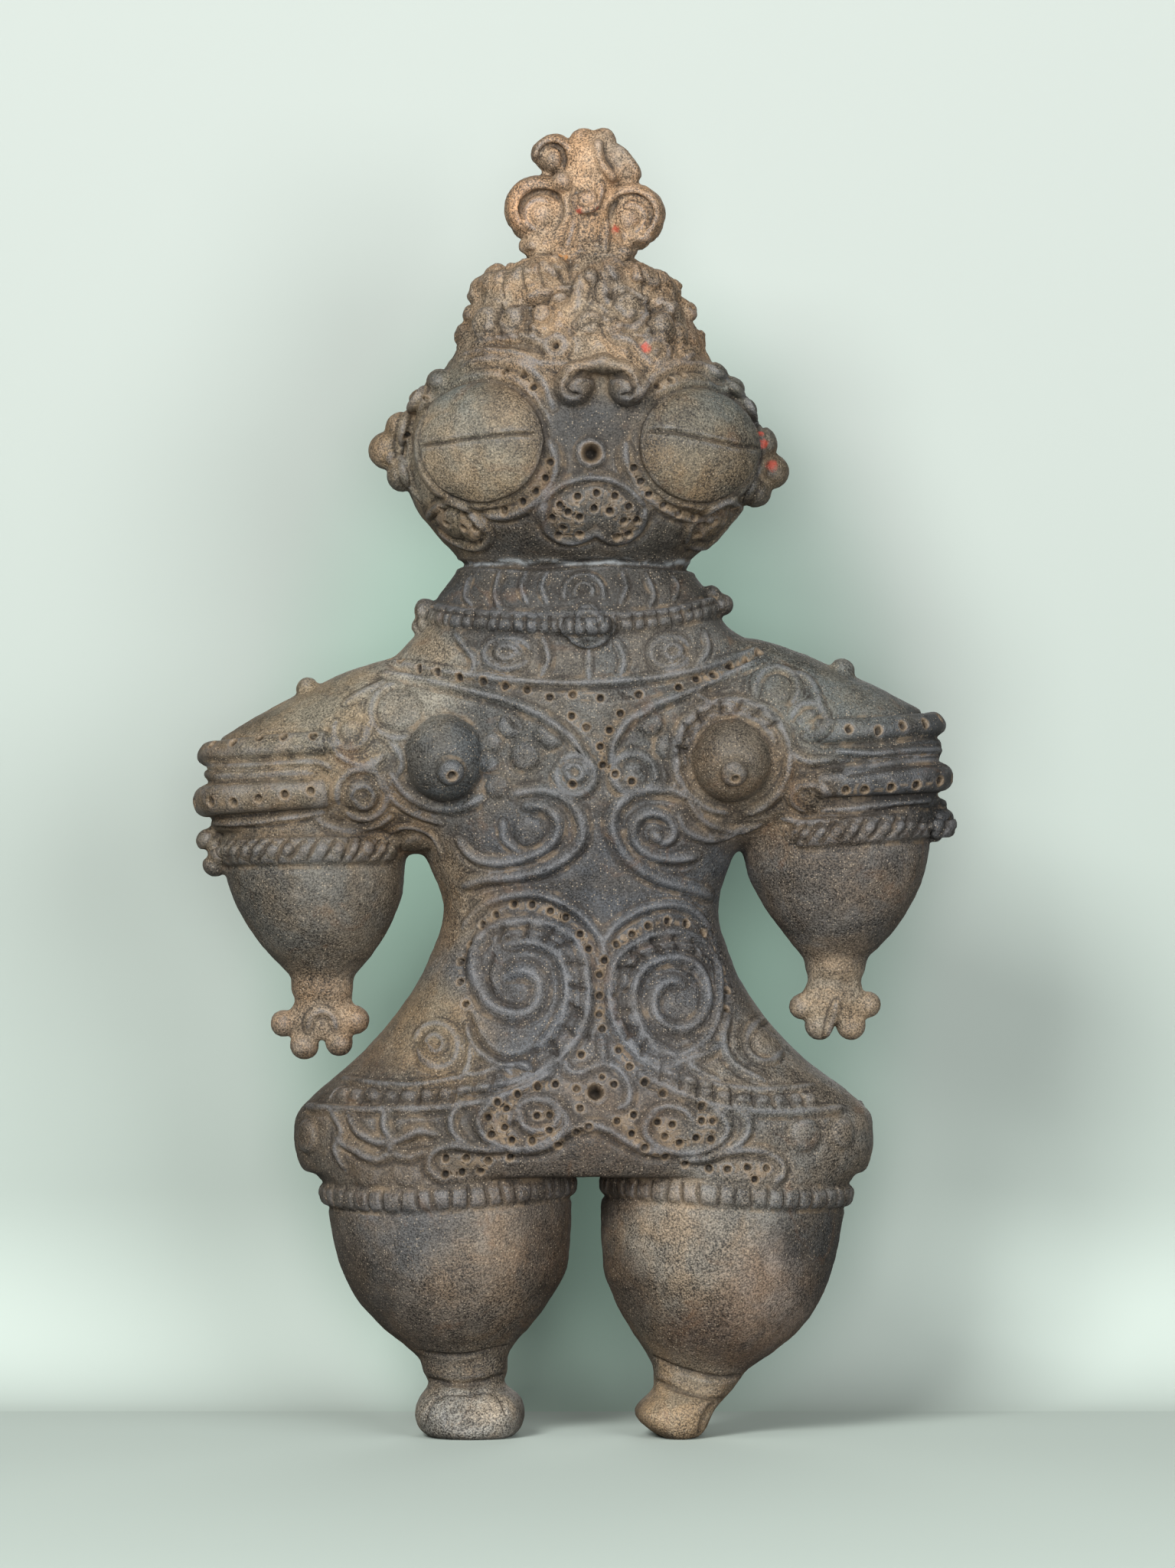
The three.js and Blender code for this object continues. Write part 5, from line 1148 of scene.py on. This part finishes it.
def readSurface(mesh):
    # how hollow the surface is at two scales, in mm, and the colour of each place, painted shade included
    count = len(mesh.vertices)
    co = np.zeros(count * 3, np.float32)
    mesh.vertices.foreach_get("co", co)
    co = co.reshape(-1, 3).astype(float)
    normals = np.zeros(count * 3, np.float32)
    mesh.vertex_normals.foreach_get("vector", normals)
    normals = normals.reshape(-1, 3)
    ends = np.zeros(len(mesh.edges) * 2, np.int32)
    mesh.edges.foreach_get("vertices", ends)
    ends = ends.reshape(-1, 2)
    degree = np.bincount(ends.ravel(), minlength=count).astype(float)
    degree[degree == 0] = 1
    smooth = co.copy()
    hollows = {}
    for step in range(1, 71):
        smooth = 0.5 * smooth + 0.5 * neighbourMean(smooth, ends, count, degree)
        if step in (8, 70):
            hollows[step] = np.einsum("ij,ij->i", smooth - co, normals) / mm
    for name, values in (("hollow", hollows[8]), ("wideHollow", hollows[70])):
        spread = values.reshape(-1, 1)
        spread = 0.4 * spread + 0.6 * neighbourMean(spread, ends, count, degree)
        mesh.attributes.new(name, "FLOAT", "POINT").data.foreach_set("value", spread.ravel())
    weights = np.full(count, 1e-4)
    colours = np.tile(np.array([0.13, 0.115, 0.095]), (count, 1)) * 1e-4
    for x, z, radius, colour in placeColoursAndShade.values():
        far = ((co[:, 0] / mm - x) ** 2 + (co[:, 2] / mm - z) ** 2) / radius ** 2
        weight = np.exp(-2.2 * far)
        weights += weight
        colours += weight[:, None] * np.array(colour)
    colours /= weights[:, None]
    tint = mesh.color_attributes.new("tint", "FLOAT_COLOR", "POINT")
    tint.data.foreach_set("color", np.hstack([colours, np.ones((count, 1))]).astype(np.float32).ravel())


clay = {
    "deposit": (0.215, 0.155, 0.095, 1),   # pale earth left in the dots and the notches
    "dark": (0.020, 0.016, 0.013, 1),     # burnt patches and dark grains, and painted shade in the hollows, beside the raised lines, in the cuts and in the holes
    "polishAndSheen": (0.135, 0.142, 0.155, 1),   # the burnished crests, lighter and bluer with a painted highlight
    "grit": (0.46, 0.38, 0.28, 1),        # quartz grains
    "ochre": (0.17, 0.090, 0.045, 1),     # rusty patches at the edges of the limbs
    "red": (0.42, 0.060, 0.035, 1),       # the last of the red paint
    "glue": (0.36, 0.150, 0.030, 1),      # old glue in the joint of the topknot
    "plaster": (0.26, 0.285, 0.30, 1),    # the filled joint at the neck
}
spots = [
    # x, z and radius in mm, and which colour
    (2, 336.6, 1.5, "red"), (6, 337.2, 1.4, "red"), (12, 332, 1.5, "red"), (19.7, 297.8, 1.9, "red"),
    (54.5, 267, 1.9, "red"), (52.4, 272.6, 1.7, "red"), (51.4, 275.4, 1.3, "red"), (-3.6, 323.9, 1.3, "glue"),
    (-2, 323.7, 0.9, "glue"),
]


def clayMaterial():
    material = bpy.data.materials.new("firedClay")
    material.use_nodes = True
    tree = material.node_tree
    shader = tree.nodes["Principled BSDF"]
    place = node(tree, "ShaderNodeTexCoord").outputs["Object"]

    def noise(scale, detail=3.0, rough=0.55, distortion=0.0):
        made = node(tree, "ShaderNodeTexNoise")
        tree.links.new(place, made.inputs["Vector"])
        for name, value in (("Scale", scale), ("Detail", detail), ("Roughness", rough), ("Distortion", distortion)):
            made.inputs[name].default_value = value
        return made.outputs["Fac"]

    def attribute(name):
        return node(tree, "ShaderNodeAttribute", attribute_name=name)

    def mixed(share, first, second, blend="MIX"):
        made = node(tree, "ShaderNodeMix", data_type="RGBA", blend_type=blend)
        made.clamp_factor = True
        for value, name in ((share, "Factor_Float"), (first, "A_Color"), (second, "B_Color")):
            socket = next(s for s in made.inputs if s.identifier == name)
            plug(tree, value, socket)
        return next(s for s in made.outputs if s.identifier == "Result_Color")

    def sharp(name):
        # the distance from the nearest mark, true between the mesh's points as well as at them
        length = node(tree, "ShaderNodeVectorMath", operation="LENGTH")
        tree.links.new(attribute("way" + name).outputs["Vector"], length.inputs[0])
        loose = maths(tree, "SUBTRACT", attribute("from" + name).outputs["Fac"], 0.7)
        return maths(tree, "MAXIMUM", length.outputs["Value"], loose)

    hollow = attribute("hollow").outputs["Fac"]
    wide = attribute("wideHollow").outputs["Fac"]
    tint = attribute("tint").outputs["Color"]
    fromDot, fromCut, fromRidge = sharp("Dot"), sharp("Cut"), sharp("Ridge")

    patches = noise(34.0, 4.0, 0.6, 0.5)
    blots = noise(140.0, 4.0, 0.65, 0.3)
    grains = noise(1900.0, 2.0, 0.6)
    fine = noise(4200.0, 2.0, 0.6)

    # light and dark from the fire, at three sizes, and warm and cool over them
    shade = maths(tree, "ADD", smoothRange(tree, patches, 0.34, 0.64, 0.70, 1.26),
                  smoothRange(tree, blots, 0.34, 0.66, -0.20, 0.20))
    shade = maths(tree, "ADD", shade, smoothRange(tree, grains, 0.32, 0.68, -0.62, 0.70))
    shade = maths(tree, "ADD", shade, smoothRange(tree, fine, 0.3, 0.7, -0.22, 0.26))
    warmth = smoothRange(tree, noise(74.0, 5.0, 0.62, 0.4), 0.38, 0.62, -1.0, 1.0)
    grey = node(tree, "ShaderNodeCombineColor")
    for i, lean in enumerate((0.07, 0.0, -0.08)):
        share = maths(tree, "ADD", maths(tree, "MULTIPLY", warmth, lean), 1.0)
        tree.links.new(maths(tree, "MULTIPLY", maths(tree, "MAXIMUM", shade, 0.12), share), grey.inputs[i])
    colour = mixed(1.0, tint, grey.outputs[0], "MULTIPLY")

    rust = maths(tree, "MULTIPLY", smoothRange(tree, noise(60.0, 6.0, 0.7, 0.8), 0.57, 0.68), 0.26)
    colour = mixed(rust, colour, clay["ochre"])
    burnt = maths(tree, "MULTIPLY", smoothRange(tree, noise(46.0, 6.0, 0.68, 0.6), 0.46, 0.36), 0.28)
    colour = mixed(burnt, colour, clay["dark"])
    # broad hollows keep earth; crests are rubbed, and lighter with a painted highlight
    earth = maths(tree, "MULTIPLY", smoothRange(tree, hollow, 0.02, 0.16),
                  smoothRange(tree, blots, 0.46, 0.66, 0.0, 0.5))
    colour = mixed(earth, colour, clay["deposit"])
    # burnish and painted highlight on the convex crests and on the raised lines
    crest = maths(tree, "MULTIPLY", smoothRange(tree, hollow, -0.03, -0.2),
                  smoothRange(tree, blots, 0.36, 0.62, 0.06, 0.34))
    ridgePolishAndSheen = maths(tree, "MULTIPLY", smoothRange(tree, fromRidge, 0.85, 0.15),
                   smoothRange(tree, blots, 0.36, 0.6, 0.12, 0.5))
    crest = maths(tree, "MAXIMUM", crest, ridgePolishAndSheen)
    colour = mixed(crest, colour, clay["polishAndSheen"])
    # painted shade beside each raised line and in the hollows
    beside = bell(tree, fromRidge, 1.5, 8.0)
    paintedShade = maths(tree, "MAXIMUM", maths(tree, "MULTIPLY", beside, 0.75),
                 maths(tree, "MULTIPLY", smoothRange(tree, hollow, 0.08, 0.4), 0.6))
    paintedShade = maths(tree, "MULTIPLY", paintedShade, smoothRange(tree, blots, 0.62, 0.42, 0.35, 1.0))
    colour = mixed(paintedShade, colour, clay["dark"])
    # painted shade in the cut lines
    paintedCutShade = smoothRange(tree, fromCut, 1.3, 0.2)
    colour = mixed(maths(tree, "MULTIPLY", paintedCutShade, 0.5), colour, clay["dark"])
    # quartz grains, pale and dark
    cells = node(tree, "ShaderNodeTexVoronoi", feature="F1")
    tree.links.new(place, cells.inputs["Vector"])
    cells.inputs["Scale"].default_value = 1700.0
    pick = node(tree, "ShaderNodeSeparateColor")
    tree.links.new(cells.outputs["Color"], pick.inputs[0])
    grit = maths(tree, "MULTIPLY", smoothRange(tree, cells.outputs["Distance"], 0.46, 0.2),
                 smoothRange(tree, pick.outputs[0], 0.76, 0.88))
    grit = maths(tree, "MULTIPLY", grit, maths(tree, "SUBTRACT", 0.5, maths(tree, "MULTIPLY", crest, 0.7)))
    colour = mixed(grit, colour, clay["grit"])
    darkGrit = maths(tree, "MULTIPLY", smoothRange(tree, cells.outputs["Distance"], 0.5, 0.2),
                     smoothRange(tree, pick.outputs[1], 0.70, 0.84))
    colour = mixed(maths(tree, "MULTIPLY", darkGrit, 0.6), colour, clay["dark"])
    # punched dots: a pale burr round a hole darkened with painted shade
    burr = maths(tree, "MULTIPLY", bell(tree, fromDot, 1.0, 7.0), smoothRange(tree, blots, 0.36, 0.6, 0.3, 0.75))
    colour = mixed(burr, colour, clay["deposit"])
    paintedHoleShade = maths(tree, "MULTIPLY", smoothRange(tree, fromDot, 0.86, 0.55),
                 smoothRange(tree, noise(190.0, 1.0), 0.4, 0.58, 0.3, 0.92))
    colour = mixed(paintedHoleShade, colour, clay["dark"])
    # the plaster in the neck joint
    split = node(tree, "ShaderNodeSeparateXYZ")
    tree.links.new(place, split.inputs[0])
    level = maths(tree, "ADD", split.outputs["Z"], maths(tree, "MULTIPLY", noise(90.0, 3.0), 5.0 * mm))
    joint = bell(tree, maths(tree, "MULTIPLY", maths(tree, "SUBTRACT", level, 0.2427), 1000.0), 0.0, 2.6)
    joint = maths(tree, "MULTIPLY", joint, smoothRange(tree, blots, 0.38, 0.6, 0.1, 0.85))
    colour = mixed(joint, colour, clay["plaster"])

    for x, z, radius, kind in spots:
        spot = onFace(x, z)
        if spot is None:
            continue
        far = node(tree, "ShaderNodeVectorMath", operation="DISTANCE")
        tree.links.new(place, far.inputs[0])
        far.inputs[1].default_value = spot
        edge = maths(tree, "ADD", far.outputs["Value"], maths(tree, "MULTIPLY", noise(900.0, 2.0), 2.4 * mm))
        mask = maths(tree, "MULTIPLY", smoothRange(tree, edge, (radius + 1.4) * mm, (radius * 0.4 + 1.0) * mm), 0.8)
        colour = mixed(mask, colour, clay[kind])
    tree.links.new(colour, shader.inputs["Base Color"])

    rough = maths(tree, "ADD", smoothRange(tree, hollow, -0.2, 0.1, 0.40, 0.74),
                  smoothRange(tree, grains, 0.3, 0.7, -0.08, 0.10))
    rough = maths(tree, "ADD", rough, smoothRange(tree, patches, 0.3, 0.7, -0.05, 0.08))
    rough = maths(tree, "SUBTRACT", rough, maths(tree, "MULTIPLY", crest, 0.3), clamp=True)
    tree.links.new(rough, shader.inputs["Roughness"])
    shader.inputs["Specular IOR Level"].default_value = 0.42

    rise = maths(tree, "ADD", maths(tree, "MULTIPLY", grains, 0.42), maths(tree, "MULTIPLY", fine, 0.12))
    rise = maths(tree, "ADD", rise, maths(tree, "MULTIPLY", grit, 0.10))
    rise = maths(tree, "ADD", rise, maths(tree, "MULTIPLY", noise(420.0, 3.0), 0.3))
    rise = maths(tree, "SUBTRACT", rise, maths(tree, "MULTIPLY", smoothRange(tree, fromDot, 1.0, 0.5), 0.9))
    rise = maths(tree, "SUBTRACT", rise, maths(tree, "MULTIPLY", smoothRange(tree, fromCut, 1.1, 0.0), 0.35))
    bump = node(tree, "ShaderNodeBump")
    bump.inputs["Strength"].default_value = 0.75
    bump.inputs["Distance"].default_value = 1.0 * mm
    tree.links.new(rise, bump.inputs["Height"])
    tree.links.new(bump.outputs["Normal"], shader.inputs["Normal"])
    return material


firedClay = clayMaterial()


def carve():
    layers = layOut()
    tree = carveTree()
    modifier = base.modifiers.new("carve", "NODES")
    modifier.node_group = tree
    setInputs(modifier, dict(zip(("Ridges", "Cuts", "Bands", "Sunken", "Dots", "Pellets"), layers)))
    setInputs(modifier, {"Finish": firedClay, "Moat": profiles["moat"]})
    figure = applied(base, "clayFigurine")
    figure.name = "clayFigurine"
    for layer in layers:
        bpy.data.objects.remove(layer)
    print("front carved:", len(figure.data.vertices), "points")
    readSurface(figure.data)
    return figure


figurine = carve()

mostTriangles = 190000


def thin(thing):
    # fewer faces where the clay is plain
    now = sum(len(f.vertices) - 2 for f in thing.data.polygons)
    if now > mostTriangles:
        fewer = thing.modifiers.new("fewer", "DECIMATE")
        fewer.ratio = mostTriangles / now
        applied(thing, "clayFigurine")
    thing.data.polygons.foreach_set("use_smooth", np.ones(len(thing.data.polygons), bool))
    print("thinned from", now, "to", sum(len(f.vertices) - 2 for f in thing.data.polygons), "triangles")


thin(figurine)
print("attributes:", [a.name for a in figurine.data.attributes])
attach(figurine, "root")
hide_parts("figurine")


# the pale sheet it stands on, the room, the lights and the camera

studio = {
    "floor": (0.50, 0.58, 0.54, 1),
    "low": (0.37, 0.435, 0.402, 1),    # the sheet's colour low down and at the top of the view; darker low down as painted shade
    "high": (0.415, 0.462, 0.440, 1),
    "near": (0.78, 1.0, 0.90, 1),      # painted shade: how much darker and greener it turns close behind the clay
    "paintedShadeMiddle": (4, 150),            # mm
    "paintedShadeSize": (110, 200),
    "shade": (0.14, 0.145, 0.135, 1),  # what the sheet throws back on the clay
    "sheetBehind": 140.0,              # mm from the middle of the clay to the upright part
    "cove": 60.0,
    "radius": 3.4,
    "bend": 1.2,
    "height": 3.4,
}


def paper(name, seenThrough):
    material = bpy.data.materials.new(name)
    material.use_nodes = True
    tree = material.node_tree
    shader = tree.nodes["Principled BSDF"]
    shader.inputs["Roughness"].default_value = 1.0
    shader.inputs["Specular IOR Level"].default_value = 0.0
    split = node(tree, "ShaderNodeSeparateXYZ")
    tree.links.new(node(tree, "ShaderNodeTexCoord").outputs["Object"], split.inputs[0])
    # darker low down: painted shade
    ramp = smoothRange(tree, split.outputs["Z"], -0.05, 0.40)
    fromFloor = smoothRange(tree, split.outputs["Z"], 0.0, 1.1 * studio["cove"] * mm)
    light = node(tree, "ShaderNodeLightPath")

    def mixed(share, first, second, blend="MIX"):
        made = node(tree, "ShaderNodeMix", data_type="RGBA", blend_type=blend)
        for value, name in ((share, "Factor_Float"), (first, "A_Color"), (second, "B_Color")):
            plug(tree, value, next(s for s in made.inputs if s.identifier == name))
        return next(s for s in made.outputs if s.identifier == "Result_Color")

    seen = mixed(fromFloor, studio["floor"], mixed(ramp, studio["low"], studio["high"]))
    if seenThrough:
        # painted shadow round the clay: darker and greener close behind it
        away = []
        for axis, middle, size in zip("XZ", studio["paintedShadeMiddle"], studio["paintedShadeSize"]):
            off = maths(tree, "DIVIDE", maths(tree, "SUBTRACT", split.outputs[axis], middle * mm), size * mm)
            away.append(maths(tree, "MULTIPLY", off, off))
        near = smoothRange(tree, maths(tree, "ADD", *away), 1.0, 0.12)
        seen = mixed(near, seen, studio["near"], "MULTIPLY")
    tree.links.new(mixed(light.outputs["Is Camera Ray"], studio["shade"], seen), shader.inputs["Base Color"])
    if seenThrough:
        back = node(tree, "ShaderNodeNewGeometry").outputs["Backfacing"]
        clear = node(tree, "ShaderNodeBsdfTransparent")
        both = node(tree, "ShaderNodeMixShader")
        tree.links.new(maths(tree, "MAXIMUM", back, light.outputs["Is Shadow Ray"]), both.inputs[0])
        tree.links.new(shader.outputs[0], both.inputs[1])
        tree.links.new(clear.outputs[0], both.inputs[2])
        tree.links.new(both.outputs[0], tree.nodes["Material Output"].inputs["Surface"])
    return material


def stageMesh(name, points, faces, material):
    mesh = bpy.data.meshes.new(name)
    mesh.from_pydata(points, [], faces)
    mesh.polygons.foreach_set("use_smooth", np.ones(len(mesh.polygons), bool))
    mesh.materials.append(material)
    made = bpy.data.objects.new(name, mesh)
    scene.collection.objects.link(made)


def makeRoom():
    # a round floor that turns up into a wall all the way round
    flat = studio["radius"] - studio["bend"]
    rows = [(flat * k / 8, 0.0) for k in range(1, 9)]
    for k in range(1, 17):
        angle = math.pi / 2 * k / 16
        rows.append((flat + studio["bend"] * math.sin(angle), studio["bend"] * (1 - math.cos(angle))))
    rows.append((studio["radius"], studio["height"]))
    points, faces, count = [(0, 0, 0)], [], 96
    for radius, z in rows:
        for s in range(count):
            angle = 2 * math.pi * s / count
            points.append((radius * math.cos(angle), radius * math.sin(angle), z))
    for s in range(count):
        faces.append((0, 1 + s, 1 + (s + 1) % count))
    for r in range(len(rows) - 1):
        for s in range(count):
            a, b = 1 + r * count + s, 1 + r * count + (s + 1) % count
            faces.append((a, a + count, b + count, b))
    stageMesh("room", points, faces, paper("roomPaper", False))


def makeSheet():
    # upright close behind the clay, curved into the floor, and not there for a camera behind it
    bend, behind = studio["cove"] * mm, studio["sheetBehind"] * mm
    rows = []
    for k in range(13):
        angle = math.pi / 2 * k / 12
        rows.append((behind - bend + bend * math.sin(angle), 0.0002 + bend * (1 - math.cos(angle))))
    rows.append((behind, 3.0))
    points = [(x, y, z) for y, z in rows for x in (-3.0, 3.0)]
    faces = [(2 * r, 2 * r + 1, 2 * r + 3, 2 * r + 2) for r in range(len(rows) - 1)]
    stageMesh("sheet", points, faces, paper("sheetPaper", True))


def areaLight(name, place, aim, size, power, colour=(1, 1, 1)):
    light = bpy.data.lights.new(name, "AREA")
    light.shape = "RECTANGLE"
    light.size, light.size_y = size
    light.energy = power
    light.color = colour
    lamp = bpy.data.objects.new(name, light)
    scene.collection.objects.link(lamp)
    lamp.location = place
    lamp.rotation_euler = (Vector(aim) - Vector(place)).to_track_quat("-Z", "Y").to_euler()
    lamp.visible_camera = False


lights = {
    "key": ((-0.75, -1.95, 1.15), (0, 0, 0.18), (0.7, 0.7), 54, (1, 0.985, 0.955)),
    "fill": ((0.95, -2.1, 0.5), (0, 0, 0.16), (0.9, 0.9), 30, (0.99, 0.985, 0.98)),
    "front": ((0.0, -2.4, 0.22), (0, 0, 0.17), (0.5, 0.5), 24, (1, 0.99, 0.97)),
    "top": ((0.1, -1.0, 2.1), (0, 0, 0.2), (1.2, 0.8), 8, (1, 1, 1)),
    "back": ((0.2, 2.6, 0.9), (0, 0, 0.18), (1.2, 1.2), 30, (1, 0.99, 0.97)),
}


def makeLights():
    for name, (place, aim, size, power, colour) in lights.items():
        areaLight(name, place, aim, size, power, colour)
    world = bpy.data.worlds.new("air")
    scene.world = world
    world.use_nodes = True
    world.node_tree.nodes["Background"].inputs["Color"].default_value = (0.88, 0.88, 0.87, 1)
    world.node_tree.nodes["Background"].inputs["Strength"].default_value = 0.12


view = {
    "middle": (4.0, 179.3),  # x and z in mm at the middle of the photograph
    "height": 431.9,          # what the frame takes in
    "distance": 2200.0,
}


def makeCamera():
    camera = bpy.data.cameras.new("camera")
    camera.sensor_fit = "VERTICAL"
    camera.sensor_height = 36
    camera.lens = 36 * view["distance"] / view["height"]
    camera.clip_end = 20
    made = bpy.data.objects.new("camera", camera)
    scene.collection.objects.link(made)
    made.location = (view["middle"][0] * mm, -view["distance"] * mm, view["middle"][1] * mm)
    made.rotation_euler = (math.pi / 2, 0, 0)
    scene.camera = made


makeRoom()
makeSheet()
makeLights()
makeCamera()
scene.view_settings.view_transform = "Standard"
print("studio ready")
